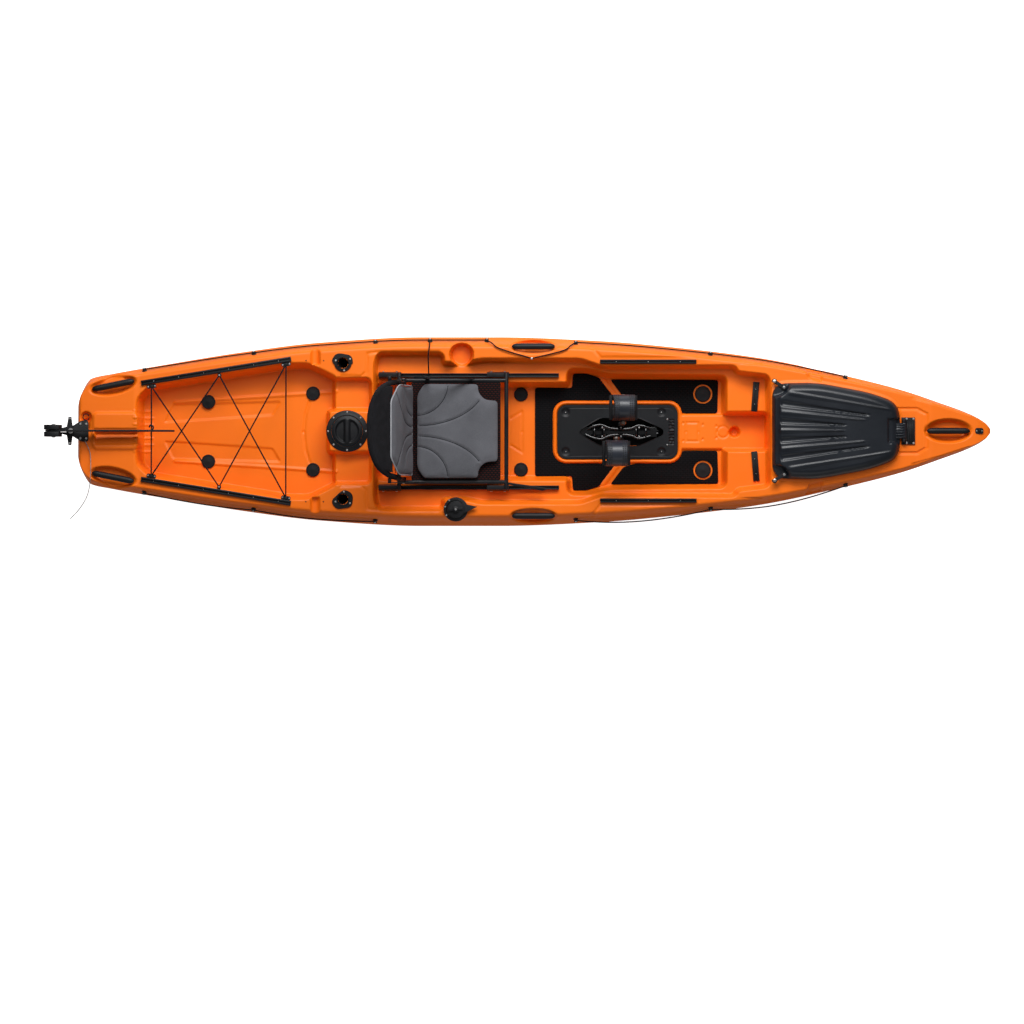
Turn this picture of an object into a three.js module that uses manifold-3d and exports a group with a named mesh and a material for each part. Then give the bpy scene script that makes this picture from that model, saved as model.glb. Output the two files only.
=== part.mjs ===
// Pedal-drive fishing kayak, sit-on-top, with a fin drive, a raised frame seat and a flip-up rudder.
// Millimetres. X runs to the bow, Y to port, Z up. The origin is on the keel amidships.
import * as THREE from "three";
import { mergeVertices } from "three/addons/utils/BufferGeometryUtils.js";
import Module from "manifold-3d";

const wasm = await Module();
wasm.setup();

// Driving sizes of the hull.
const halfLength = 2025;
const halfBeam = 421;
const deckHeight = 270;
const wall = 5;
const seamLip = 5;

// Clearances and finish that every piece shares.
const seatGap = 0.4;
const runGap = 0.9;
const overrun = 30;
const weld = 0.001;

// Hull lines: station, then the value there, as shares of half length and of half beam or deck height.
const beamShares = [
  [-1, 0.28], [-0.9916, 0.418], [-0.971, 0.56], [-0.928, 0.606], [-0.818, 0.7],
  [-0.643, 0.838], [-0.468, 0.943], [-0.248, 1], [-0.074, 1], [0.146, 0.96],
  [0.321, 0.886], [0.496, 0.779], [0.672, 0.601], [0.803, 0.442], [0.89, 0.299],
  [0.956, 0.178], [0.989, 0.085], [1, 0.02],
];
const seamShares = [
  [-1, 0.82], [-0.66, 0.752], [-0.25, 0.7], [0, 0.7], [0.45, 0.767],
  [0.66, 0.867], [0.79, 0.907], [0.895, 0.98], [1, 1.05],
];
const chineShares = [
  [-1, 0.56], [-0.9, 0.5], [-0.68, 0.407], [-0.49, 0.322], [-0.3, 0.248], [-0.1, 0.222],
  [0.07, 0.222], [0.2, 0.267], [0.37, 0.319], [0.495, 0.385], [0.64, 0.49],
  [0.79, 0.674], [0.915, 0.807], [1, 1],
];
const keelShares = [
  [-1, 0.5], [-0.957, 0.452], [-0.938, 0.12], [-0.9, 0.096], [-0.706, 0.096], [-0.514, 0],
  [0.79, 0], [0.835, 0.03], [0.873, 0.167], [0.937, 0.496], [0.968, 0.704],
  [0.989, 0.88], [1, 0.98],
];
const deckShares = [
  [-1, 1.022], [-0.877, 1.022], [-0.862, 1], [0.44, 1], [0.5, 1.045], [0.836, 1.06],
  [0.872, 1.14], [0.965, 1.14], [1, 1.1],
];
const bilgeShares = [[-1, 0.4], [-0.6, 0.3], [-0.3, 0.08], [0.4, 0.08], [0.8, 0.35], [1, 0.5]];
const stationShares = [
  -1, -0.9916, -0.971, -0.957, -0.938, -0.9, -0.877, -0.862, -0.818, -0.76, -0.706, -0.643,
  -0.58, -0.5, -0.36, -0.18, 0, 0.18, 0.31, 0.4, 0.5, 0.6, 0.7, 0.79, 0.836,
  0.872, 0.905, 0.937, 0.956, 0.97, 0.989, 1,
];

// Section of the side and of the gunwale: share of the half beam, then share of the height that it climbs.
const sideShares = [[1, 0.6], [0.985, 0]];
const bottomShares = [[0.82, 1], [0.4, 0.4]];
const gunwaleShares = [[0.95, 0.42], [0.915, 0.82], [0.885, 1]];

// Plan outlines, port half, as shares of half length and half beam.
const wellShares = [[-0.862, 0.34], [-0.84, 0.447], [-0.536, 0.682], [-0.494, 0.682], [-0.435, 0.542]];
const ledgeShares = [[-0.437, 0.542], [-0.3585, 0.542]];
const hatchBlockShares = [[-0.453, 0.235], [-0.355, 0.235]];
const cockpitShares = [
  [-0.345, 0.7], [-0.34, 0.808], [-0.2, 0.808], [-0.2, 0.705], [-0.148, 0.705], [-0.116, 0.741],
  [0.102, 0.741], [0.15, 0.663], [0.44, 0.672], [0.447, 0.608], [0.514, 0.57],
];
const footwellShares = [
  [-0.34, 0.487], [0.079, 0.487], [0.081, 0.641], [0.119, 0.641], [0.169, 0.58], [0.42, 0.57],
];
const ridgeShares = [[0.328, 0.185], [0.514, 0.185]];
const channelShares = [[0.42, 0.185], [0.514, 0.185]];
const lidShares = [[0.522, 0.5], [0.62, 0.51], [0.74, 0.4], [0.801, 0.285]];
const aftMatShares = [
  [0.004, 0.47], [0.086, 0.47], [0.088, 0.622], [0.118, 0.622], [0.162, 0.563], [0.205, 0.372],
];
const foreMatShares = [[0.19, 0.555], [0.41, 0.552], [0.408, 0.2], [0.335, 0.2], [0.232, 0.37]];
const notchShares = [[0.591, 0.736], [0.635, 0.689], [0.631, 0.527], [0.6035, 0.56]];
const panelShares = [[-0.814, 0.1], [-0.575, 0.178], [-0.558, 0.318], [-0.795, 0.287]];

// Heights of the mouldings.
const wellFloor = 0.593 * deckHeight;
const ledgeFloor = 0.796 * deckHeight;
const hatchBlockTop = 0.944 * deckHeight;
const shelfFloor = 0.741 * deckHeight;
const cockpitFloor = 0.389 * deckHeight;
const ridgeTop = 0.437 * deckHeight;
const lidSeat = 1.07 * deckHeight;
const notchFloor = 0.99 * deckHeight;
const panelDrop = 3;
const coamingRise = 12;
const coamingInset = 16;
const coamingWall = 8;
const lidRise = 56;
const cornerRadius = 22;

// Drive plate, its rim in the floor and the well through the hull.
const plateLength = 0.268 * halfLength;
const plateWidth = 0.582 * halfBeam;
const plateCentre = 0.1867 * halfLength;
const plateThick = 14;
const plateCorner = 42;
const rimWidth = 16;
const rimRise = 15;
const slotLength = 0.687 * plateLength;
const slotWidth = 0.506 * plateWidth;
const wellLength = 0.761 * plateLength;
const wellWidth = 0.555 * plateWidth;
const wellCorner = 30;

// Scuppers: station and offset shares, and the sizes of their tubes and plugs.
const scupperShares = [[-0.717, 0.316], [-0.486, 0.406], [-0.027, 0.401], [0.376, 0.406]];
const scupperBore = 23;
const plugRadius = 31;
const plugHead = 7;
const plugStem = 24;

// Fittings let into the gunwale.
const rodStation = -0.4173 * halfLength;
const rodOffset = 0.7173 * halfBeam;
const rodRadius = 24;
const rodDepth = 150;
const rodTilt = 0.3;
const rodFlange = 6;
const drainStation = 0.446 * halfLength;
const drainRadius = 20;
const drainDepth = 35;
const cupStation = -0.1575 * halfLength;
const cupOffset = 0.8124 * halfBeam;
const cupRadius = 46;
const cupDepth = 80;
const steerStation = -0.1699 * halfLength;
const steerOffset = 0.8242 * halfBeam;
const steerRadius = 54;
const restStation = -0.4785 * halfLength;
const restRadius = 21;
const restInner = 0.6936 * halfBeam;
const hatchStation = -0.4084 * halfLength;
const hatchRadius = 93;
const hatchBore = 70;
const gripLength = 191;
const gripRadius = 14.5;
const gripPocketLength = 205;
const gripPocketWidth = 86;
const gripPocketDepth = 38;
const trackWidth = 22;
const trackHeight = 10;

// The raised land for the stowed rudder blade, and the studs that the hatch latches hook on.
const humpFrom = -0.963 * halfLength;
const humpTo = -0.8652 * halfLength;
const humpHalfWidth = 0.1853 * halfBeam;
const humpTop = 1.0593 * deckHeight;
const humpSlot = 20;
const studStation = 0.5264 * halfLength;
const studOffset = 0.5202 * halfBeam;
const studRadius = 5;
const studRise = 33;
const studTop = lidSeat + studRise;

// A closed geometry as a solid that can be joined and cut, facing out.
function solid(geometry) {
  const plain = geometry.index ? geometry.toNonIndexed() : geometry;
  const bare = new THREE.BufferGeometry().setAttribute("position", plain.getAttribute("position"));
  const merged = mergeVertices(bare, weld);
  const corners = new Uint32Array(merged.index.array);
  const vertices = merged.attributes.position.array;
  const made = new wasm.Manifold(
    new wasm.Mesh({ numProp: 3, vertProperties: vertices, triVerts: corners }),
  );
  if (made.volume() > 0) return made;
  const turned = corners.map((_, i) => corners[i - (i % 3) + [0, 2, 1][i % 3]]);
  return new wasm.Manifold(
    new wasm.Mesh({ numProp: 3, vertProperties: vertices, triVerts: turned }),
  );
}

// A solid back as a three.js geometry.
function geometryOf(body) {
  const mesh = body.getMesh();
  const places = new Float32Array(mesh.numVert * 3);
  for (let i = 0; i < mesh.numVert; i++) {
    places.set(mesh.vertProperties.subarray(i * mesh.numProp, i * mesh.numProp + 3), i * 3);
  }
  return new THREE.BufferGeometry()
    .setAttribute("position", new THREE.BufferAttribute(places, 3))
    .setIndex(new THREE.BufferAttribute(mesh.triVerts, 1));
}

const join = (...bodies) => bodies.reduce((a, b) => a.add(b));
const cut = (body, ...tools) => tools.reduce((a, b) => a.subtract(b), body);

// Straight-sided bodies: an outline in plan, from the side or from ahead, run between two places.
function prism(outline, from, to) {
  const shape = new THREE.Shape(outline.map(([x, y]) => new THREE.Vector2(x, y)));
  const geometry = new THREE.ExtrudeGeometry(shape, { depth: to - from, bevelEnabled: false });
  return solid(geometry.translate(0, 0, from));
}
function prismAcross(outline, from, to) {
  const shape = new THREE.Shape(outline.map(([x, z]) => new THREE.Vector2(x, z)));
  const geometry = new THREE.ExtrudeGeometry(shape, { depth: to - from, bevelEnabled: false });
  return solid(geometry.rotateX(Math.PI / 2).translate(0, to, 0));
}
const alongX = new THREE.Matrix4().makeBasis(
  new THREE.Vector3(0, 1, 0), new THREE.Vector3(0, 0, 1), new THREE.Vector3(1, 0, 0),
);
function prismAlong(outline, from, to) {
  const shape = new THREE.Shape(outline.map(([y, z]) => new THREE.Vector2(y, z)));
  const geometry = new THREE.ExtrudeGeometry(shape, { depth: to - from, bevelEnabled: false });
  return solid(geometry.translate(0, 0, from).applyMatrix4(alongX));
}
function box(x0, x1, y0, y1, z0, z1) {
  const geometry = new THREE.BoxGeometry(x1 - x0, y1 - y0, z1 - z0);
  return solid(geometry.translate((x0 + x1) / 2, (y0 + y1) / 2, (z0 + z1) / 2));
}

// Round bodies on an axis through a point: upright, across or lengthways.
function upright(x, y, z0, z1, radius, top = radius, sides = 20) {
  const geometry = new THREE.CylinderGeometry(top, radius, z1 - z0, sides);
  return solid(geometry.rotateX(Math.PI / 2).translate(x, y, (z0 + z1) / 2));
}
function across(x, z, y0, y1, radius, sides = 16) {
  const geometry = new THREE.CylinderGeometry(radius, radius, y1 - y0, sides);
  return solid(geometry.translate(x, (y0 + y1) / 2, z));
}
function lengthways(y, z, x0, x1, radius, sides = 16) {
  const geometry = new THREE.CylinderGeometry(radius, radius, x1 - x0, sides);
  return solid(geometry.rotateZ(Math.PI / 2).translate((x0 + x1) / 2, y, z));
}
function turned(profile, x, y, z, sides = 20) {
  const points = profile.map(([r, h]) => new THREE.Vector2(r, h));
  const geometry = new THREE.LatheGeometry(points, sides);
  return solid(geometry.rotateX(Math.PI / 2).translate(x, y, z));
}

// A round or flat bar along a smooth route.
function bar(points, radius, steps = 20, sides = 6) {
  const circle = new THREE.Shape();
  circle.absarc(0, 0, radius, 0, 2 * Math.PI);
  const places = points.map((p) => new THREE.Vector3(...p));
  const route = places.length > 2 ? new THREE.CatmullRomCurve3(places) : new THREE.LineCurve3(...places);
  return solid(new THREE.ExtrudeGeometry(circle, {
    steps, curveSegments: sides / 2, extrudePath: route, bevelEnabled: false,
  }));
}

// A body through rings of like count, closed at both ends by a fan about its middle.
function loft(rings) {
  const count = rings[0].length;
  const places = rings.flat(2);
  const corners = [];
  rings.slice(1).forEach((_, r) => {
    for (let i = 0; i < count; i++) {
      const a = r * count + i;
      const b = r * count + ((i + 1) % count);
      corners.push(a, b, b + count, a, b + count, a + count);
    }
  });
  [0, rings.length - 1].forEach((r) => {
    const middle = [0, 1, 2].map((k) => rings[r].reduce((sum, p) => sum + p[k], 0) / count);
    const hub = places.length / 3;
    places.push(...middle);
    for (let i = 0; i < count; i++) {
      const a = r * count + i;
      const b = r * count + ((i + 1) % count);
      corners.push(...(r ? [a, b, hub] : [b, a, hub]));
    }
  });
  const geometry = new THREE.BufferGeometry()
    .setAttribute("position", new THREE.Float32BufferAttribute(places, 3))
    .setIndex(corners);
  return solid(geometry);
}

// Outlines: port half made whole, grown by a distance, and with round corners.
const placed = (shares) => shares.map(([x, y]) => [x * halfLength, y * halfBeam]);
const sided = (shares, side) => placed(shares).map(([x, y]) => [x, side * y]);
const whole = (half) => [...half, ...half.map(([x, y]) => [x, -y]).reverse()];
function grown(outline, distance) {
  const turn = THREE.ShapeUtils.area(outline.map(([x, y]) => new THREE.Vector2(x, y))) > 0 ? 1 : -1;
  return outline.map((p, i) => {
    const before = outline[(i + outline.length - 1) % outline.length];
    const after = outline[(i + 1) % outline.length];
    const normal = ([ax, ay], [bx, by]) => {
      const run = Math.hypot(bx - ax, by - ay);
      return [((by - ay) / run) * turn, (-(bx - ax) / run) * turn];
    };
    const m = normal(before, p);
    const n = normal(p, after);
    const reach = distance / (1 + m[0] * n[0] + m[1] * n[1]);
    return [p[0] + (m[0] + n[0]) * reach, p[1] + (m[1] + n[1]) * reach];
  });
}
function rounded(outline, radius, steps = 2) {
  return outline.flatMap((p, i) => {
    const before = outline[(i + outline.length - 1) % outline.length];
    const after = outline[(i + 1) % outline.length];
    const toward = (q) => {
      const run = Math.hypot(q[0] - p[0], q[1] - p[1]);
      const reach = Math.min(radius, run * 0.45) / run;
      return [p[0] + (q[0] - p[0]) * reach, p[1] + (q[1] - p[1]) * reach];
    };
    const [a, b] = [toward(before), toward(after)];
    return Array.from({ length: steps + 1 }, (_, k) => {
      const t = k / steps;
      return [0, 1].map((c) => a[c] * (1 - t) ** 2 + 2 * p[c] * t * (1 - t) + b[c] * t ** 2);
    });
  });
}
const oblong = (x, y, length, width, radius) => rounded(
  [[x - length / 2, y - width / 2], [x + length / 2, y - width / 2],
    [x + length / 2, y + width / 2], [x - length / 2, y + width / 2]], radius,
);

// A smooth line through a table of shares that keeps its flats flat.
function fair(table, at) {
  const slopes = table.slice(1).map(([x, v], i) => (v - table[i][1]) / (x - table[i][0]));
  const tangent = (i) => {
    const a = slopes[Math.max(i - 1, 0)];
    const b = slopes[Math.min(i, slopes.length - 1)];
    return a * b <= 0 ? 0 : (2 * a * b) / (a + b);
  };
  const found = table.findIndex(([x]) => x >= at);
  const i = Math.max(found < 0 ? table.length - 1 : found, 1);
  const run = table[i][0] - table[i - 1][0];
  const t = (at - table[i - 1][0]) / run;
  return table[i - 1][1] * (2 * t ** 3 - 3 * t ** 2 + 1) + table[i][1] * (3 * t ** 2 - 2 * t ** 3) +
    run * (tangent(i - 1) * (t ** 3 - 2 * t ** 2 + t) + tangent(i) * (t ** 3 - t ** 2));
}
const beamAt = (x) => fair(beamShares, x / halfLength) * halfBeam;
const seamAt = (x) => fair(seamShares, x / halfLength) * deckHeight;
const chineAt = (x) => fair(chineShares, x / halfLength) * deckHeight;
const keelAt = (x) => fair(keelShares, x / halfLength) * deckHeight;
const deckAt = (x) => fair(deckShares, x / halfLength) * deckHeight;

// Half sections, from the outside in: the hull from seam to keel, the deck from seam to centre line.
function hullHalf(x, inset, rise = 0) {
  const b = beamAt(x);
  const low = Math.max(chineAt(x) - keelAt(x), 2 * wall);
  const chine = keelAt(x) + low;
  const bilge = fair(bilgeShares, x / halfLength) * low;
  return [
    [Math.max(b - seamLip - inset, wall / 2), seamAt(x) + rise],
    ...sideShares.map(([k, h]) => [Math.max(k * b - inset, wall / 2), chine + h * (seamAt(x) - chine)]),
    ...bottomShares.map(([k, h]) => [k * Math.max(b - inset, wall), keelAt(x) + h * bilge + inset]),
    [0, keelAt(x) + inset],
  ];
}
function deckHalf(x, inset, drop = 0) {
  const b = beamAt(x);
  const climb = deckAt(x) - seamAt(x);
  return [
    [Math.max(b - inset, wall / 2), seamAt(x) - drop],
    ...gunwaleShares.map(([k, h]) => [Math.max(k * b - inset, wall / 2), seamAt(x) + h * climb - inset]),
    [0, deckAt(x) - inset],
  ];
}
const ringOf = (x, half) => [
  ...half.map(([y, z]) => [x, y, z]),
  ...half.slice(0, -1).reverse().map(([y, z]) => [x, -y, z]),
];
const outerStations = stationShares.map((s) => s * halfLength);
const innerStations = outerStations.filter((x, i) => i % 2 === 0 || Math.abs(x) > halfLength * 0.69)
  .filter((x) => x > -halfLength && beamAt(x) > 12 * wall)
  .map((x, i) => (i ? x : x + wall / 2));
const hullBody = (stations, inset, rise) => loft(stations.map((x) => ringOf(x, hullHalf(x, inset, rise))));
const deckBody = (stations, inset, drop) => loft(stations.map((x) => ringOf(x, deckHalf(x, inset, drop))));

// All that is left inside the shell, where floors and tubes of the deck moulding may run.
function insideBody() {
  const inset = wall + seatGap;
  return loft(innerStations.map((x) => {
    const up = deckHalf(x, wall / 2).slice(1).reverse();
    const down = hullHalf(x, inset);
    const half = [...up, ...down];
    return [
      ...half.map(([y, z]) => [x, y, z]),
      ...half.slice(1, -1).reverse().map(([y, z]) => [x, -y, z]),
    ];
  }));
}

// Cavities of the deck moulding: outline, floor height and how far the outline's corners are rounded.
const cavities = [
  { outline: whole(placed(wellShares)), floor: wellFloor },
  { outline: whole(placed(ledgeShares)), floor: ledgeFloor },
  { outline: whole(placed(cockpitShares)), floor: shelfFloor },
  { outline: whole(placed(footwellShares)), floor: cockpitFloor },
  { outline: whole(placed(channelShares)), floor: ridgeTop },
  { outline: sided(notchShares, 1), floor: notchFloor },
  { outline: sided(notchShares, -1), floor: notchFloor },
];
const above = deckHeight + halfBeam / 2;
const lidOutline = rounded(whole(placed(lidShares)), 3 * cornerRadius);
const wellX = [plateCentre - wellLength / 2, plateCentre + wellLength / 2];
const plateX = [plateCentre - plateLength / 2, plateCentre + plateLength / 2];
const wellOutline = oblong(plateCentre + wall, 0, wellLength, wellWidth, wellCorner);
const bothSides = [1, -1];
const scuppers = scupperShares.flatMap(([x, y]) => bothSides.map((s) => [x * halfLength, s * y * halfBeam]));
const rodMouth = (side) => [rodStation, side * rodOffset, deckAt(rodStation)];

// A tilted round body whose top is at a mouth in the deck and whose foot leans forward.
function slanted(mouth, radius, from, to) {
  const geometry = new THREE.CylinderGeometry(radius, radius, to - from, 12);
  geometry.rotateX(Math.PI / 2).translate(0, 0, (from + to) / 2).rotateY(-rodTilt);
  return solid(geometry.translate(...mouth));
}

// An oval pocket for a grip, its long side turned by an angle.
function pocket(x, y, turn, length, width, depth) {
  const steps = 12;
  const outline = Array.from({ length: steps }, (_, i) => {
    const t = (2 * Math.PI * i) / steps;
    return [Math.cos(t) * length / 2, Math.sin(t) * width / 2];
  });
  const geometry = prism(outline, deckAt(x) - depth, above);
  return geometry.rotate([0, 0, turn * 180 / Math.PI]).translate([x, y, 0]);
}

// Grip pockets: station, offset, turn, length and width of the pocket.
const sternGripStation = -0.9205 * halfLength;
const sternGripOffset = 0.4846 * halfBeam;
const sternGripTurn = 0.2;
const midGripOffset = 0.8931 * halfBeam;
const midPocketWidth = 62;
const bowPocketWidth = 106;
const bowGripStation = 0.9067 * halfLength;
const grips = {
  grip_stern_port: [sternGripStation, sternGripOffset, sternGripTurn, gripPocketWidth],
  grip_stern_starboard: [sternGripStation, -sternGripOffset, -sternGripTurn, gripPocketWidth],
  grip_mid_port: [0, midGripOffset, 0, midPocketWidth],
  grip_mid_starboard: [0, -midGripOffset, 0, midPocketWidth],
  grip_bow: [bowGripStation, 0, 0, bowPocketWidth],
};

// The half-round rest for a paddle or a rod across one gunwale.
function restBody(side, radius) {
  const ends = [side * restInner, side * halfBeam].sort((a, b) => a - b);
  return across(restStation, deckHeight, ...ends, radius, 16);
}

// The lower half of the shell: one skin, open at the seam, with scupper holes and the slot of the drive well.
function hullShell() {
  const skin = hullBody(outerStations, 0).subtract(hullBody(innerStations, wall, overrun));
  const holes = scuppers.map(([x, y]) => upright(x, y, -overrun, cockpitFloor, scupperBore, scupperBore, 8));
  const slot = prism(wellOutline, -overrun, cockpitFloor);
  return cut(skin, ...holes, slot);
}

// The upper half: gunwales and deck with the tank well, cockpit, hatch bay and all pockets moulded in.
function deckShell() {
  const skin = deckBody(outerStations, 0).subtract(deckBody(innerStations, wall, overrun))
    .translate([0, 0, seatGap]);
  const inside = insideBody();
  const floors = join(
    ...cavities.map(({ outline, floor }) => prism(grown(outline, wall), floor - wall, above)),
    prism(grown(wellOutline, wall), 0, cockpitFloor),
    ...scuppers.map(([x, y]) => upright(x, y, 0, wellFloor, scupperBore + wall, scupperBore + wall, 8)),
    upright(cupStation, cupOffset, deckHeight - cupDepth - wall, above, cupRadius + wall),
    upright(drainStation, 0, ridgeTop - drainDepth - wall, ridgeTop, drainRadius + wall, drainRadius + wall, 12),
    ...bothSides.map((s) => restBody(s, restRadius + wall)),
    ...Object.values(grips).map(([x, y, turn, width]) =>
      pocket(x, y, turn, gripPocketLength + 2 * wall, width + 2 * wall, gripPocketDepth + wall)),
  ).intersect(inside);
  const blockOutline = whole(placed(hatchBlockShares));
  const block = prism(blockOutline, wellFloor - wall, hatchBlockTop).intersect(inside);
  const blockRoom = prism(grown(blockOutline, -wall), 0, hatchBlockTop - wall);
  const ridge = prism(whole(placed(ridgeShares)), cockpitFloor - wall, ridgeTop).intersect(inside);
  const hollows = join(
    ...cavities.map(({ outline, floor }) => prism(rounded(outline, cornerRadius), floor, above)),
  ).subtract(join(block, ridge));
  const rim = prism(oblong(plateCentre, 0, plateLength + 2 * rimWidth, plateWidth + 2 * rimWidth,
    plateCorner + rimWidth), cockpitFloor - wall, cockpitFloor + rimRise);
  const bed = prism(oblong(plateCentre, 0, plateLength, plateWidth, plateCorner),
    cockpitFloor, cockpitFloor + rimRise + overrun);
  const lidLand = prism(grown(lidOutline, seamLip), deckHeight - wall, lidSeat);
  const coaming = prism(grown(lidOutline, -coamingInset), deckHeight - wall, lidSeat + coamingRise);
  const bayMouth = prism(grown(lidOutline, -coamingInset - coamingWall), deckHeight - overrun, above);
  const hump = prism(rounded([[humpFrom, -humpHalfWidth], [humpTo, -humpHalfWidth],
    [humpTo, humpHalfWidth], [humpFrom, humpHalfWidth]], cornerRadius), deckHeight - wall, humpTop);
  const studs = bothSides.map((s) => upright(studStation, s * studOffset, deckHeight, studTop, studRadius,
    studRadius, 8));
  const body = join(cut(join(skin, floors), hollows), rim, lidLand, coaming, hump, ...studs);
  return cut(
    body,
    bed,
    bayMouth,
    blockRoom,
    prism([[humpFrom, -humpSlot / 2], [humpTo, -humpSlot / 2], [humpTo, humpSlot / 2],
      [humpFrom, humpSlot / 2]], humpTop - humpSlot / 3, above),
    prism(wellOutline, -overrun, above),
    ...scuppers.map(([x, y]) => upright(x, y, -overrun, wellFloor + seatGap, scupperBore, scupperBore, 8)),
    ...bothSides.map((s) => slanted(rodMouth(s), rodRadius + rodWall + seatGap, -rodDepth, overrun)),
    upright(cupStation, cupOffset, deckHeight - cupDepth, above, cupRadius),
    upright(drainStation, 0, ridgeTop - drainDepth, above, drainRadius, drainRadius, 12),
    ...bothSides.map((s) => prism(sided(panelShares, s), wellFloor - panelDrop, above)),
    upright(hatchStation, 0, ledgeFloor, above, hatchBore + hatchCollarWall, hatchBore + hatchCollarWall),
    ...bothSides.map((s) => restBody(s, restRadius)),
    ...Object.values(grips).map(([x, y, turn, width]) =>
      pocket(x, y, turn, gripPocketLength, width, gripPocketDepth)),
  );
}

const deckTop = (x) => deckAt(x) + seatGap;
const shown = {};
const add = (name, body, look) => {
  shown[name] = [body, look];
};

// The space of the finished deck and what lies under it, a clearance larger all round.
const deckRoom = () => deckBody(outerStations, -seatGap).translate([0, 0, seatGap]);

// The wear shoe under the aft end of the keel.
const skidFrom = -0.9398 * halfLength;
const skidTo = -0.8721 * halfLength;
const skidHalfWidth = 26;
const skidThick = 5;
const skidHeight = 22;
function keelSkid() {
  const low = keelAt(skidTo) - skidThick;
  const outline = rounded([[skidFrom, low], [skidTo, low], [skidTo, low + skidHeight],
    [skidFrom, low + skidHeight]], skidThick);
  return prismAcross(outline, -skidHalfWidth, skidHalfWidth)
    .subtract(hullBody(outerStations, -seatGap));
}

// Foam mats on the cockpit floor, cut round the plate rim and the forward scuppers.
const matThick = 5;
const matGap = 4;
const matRing = 43;
function mats() {
  const base = cockpitFloor + seatGap;
  const rim = prism(oblong(plateCentre, 0, plateLength + 2 * rimWidth + matGap,
    plateWidth + 2 * rimWidth + matGap, plateCorner + rimWidth), 0, above);
  const mat = (outline) => prism(rounded(outline, cornerRadius / 2, 2), base, base + matThick).subtract(rim);
  add("floor_mat_aft", mat(whole(placed(aftMatShares))), "mat");
  const [x, y] = scupperShares[3];
  bothSides.forEach((s) => {
    const outline = placed(foreMatShares).map(([px, py]) => [px, s * py]);
    const hole = upright(x * halfLength, s * y * halfBeam, 0, above, matRing);
    add(s > 0 ? "floor_mat_port" : "floor_mat_starboard", mat(outline).subtract(hole), "mat");
  });
}

// Rubber plugs in the eight scuppers.
const plugEase = 2;
const plugNames = ["well_aft", "well_fore", "seat", "foot"];
function plugs() {
  scupperShares.forEach(([x, y], i) => bothSides.forEach((s) => {
    const floor = i < 2 ? wellFloor : cockpitFloor;
    const profile = [[0, -plugStem], [scupperBore - 3 * plugEase, -plugStem], [scupperBore - 2 * plugEase, 0],
      [plugRadius, 0], [plugRadius - plugEase, plugHead],
      [0, plugHead - plugEase]];
    add("plug_" + plugNames[i] + (s > 0 ? "_port" : "_starboard"),
      turned(profile, x * halfLength, s * y * halfBeam, floor + seatGap, 10), "rubber");
  }));
}

// A carrying grip: a round moulded bar over its pocket, on two feet.
const gripSink = 2;
const gripFoot = 6;
function grip([x, y, turn]) {
  const half = gripLength / 2;
  const profile = [[0, -half], [gripRadius * 0.62, gripRadius * 0.2 - half], [gripRadius, gripRadius - half],
    [gripRadius, half - gripRadius], [gripRadius * 0.62, half - gripRadius * 0.2], [0, half]];
  const points = profile.map(([r, h]) => new THREE.Vector2(r, h));
  const handle = solid(new THREE.LatheGeometry(points, 8).rotateZ(-Math.PI / 2));
  const floor = gripSink - gripPocketDepth;
  const feet = [1, -1].map((s) => upright(s * (half - gripRadius), 0, floor, 0, gripFoot, gripFoot, 6));
  return join(handle, ...feet).rotate([0, 0, turn * 180 / Math.PI])
    .translate([x, y, deckTop(x) - gripSink]);
}

// Gear tracks: a slotted channel between two places on a surface.
const trackSlot = 8;
const trackUndercut = 13;
const trackLip = 3;
const trackEdge = 1;
const midTrackWidth = 18;
const crossTrackWidth = 27;
function track(x0, y0, x1, y1, surface, width = trackWidth) {
  const [w, s, u] = [width / 2, trackSlot / 2, trackUndercut / 2];
  const half = [[s, trackHeight], [s, trackHeight - trackLip], [u, trackHeight - trackLip], [u, trackLip]];
  const outline = [[-w, 0], [w, 0], [w, trackHeight - trackEdge], [w - trackEdge, trackHeight], ...half,
    ...half.map(([a, b]) => [-a, b]).reverse(), [trackEdge - w, trackHeight], [-w, trackHeight - trackEdge]];
  const length = Math.hypot(x1 - x0, y1 - y0);
  return prismAlong(outline, 0, length)
    .rotate([0, 0, Math.atan2(y1 - y0, x1 - x0) * 180 / Math.PI])
    .translate([x0, y0, surface + seatGap]);
}
const aftTrackShares = [[-0.859, 0.506], [-0.531, 0.76]];
const midTrackShares = [[0.146, 0.732], [0.357, 0.732]];
const crossTrackShares = [[0.486, 0.211], [0.491, 0.525]];
function tracks() {
  const rows = [["aft", aftTrackShares, deckTop(0), trackWidth], ["mid", midTrackShares, deckTop(0),
    midTrackWidth], ["cross", crossTrackShares, shelfFloor, crossTrackWidth]];
  rows.forEach(([name, shares, surface, width]) => bothSides.forEach((s) => {
    const [[x0, y0], [x1, y1]] = placed(shares);
    add("track_" + name + (s > 0 ? "_port" : "_starboard"), track(x0, s * y0, x1, s * y1, surface, width),
      "black");
  }));
}

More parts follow.
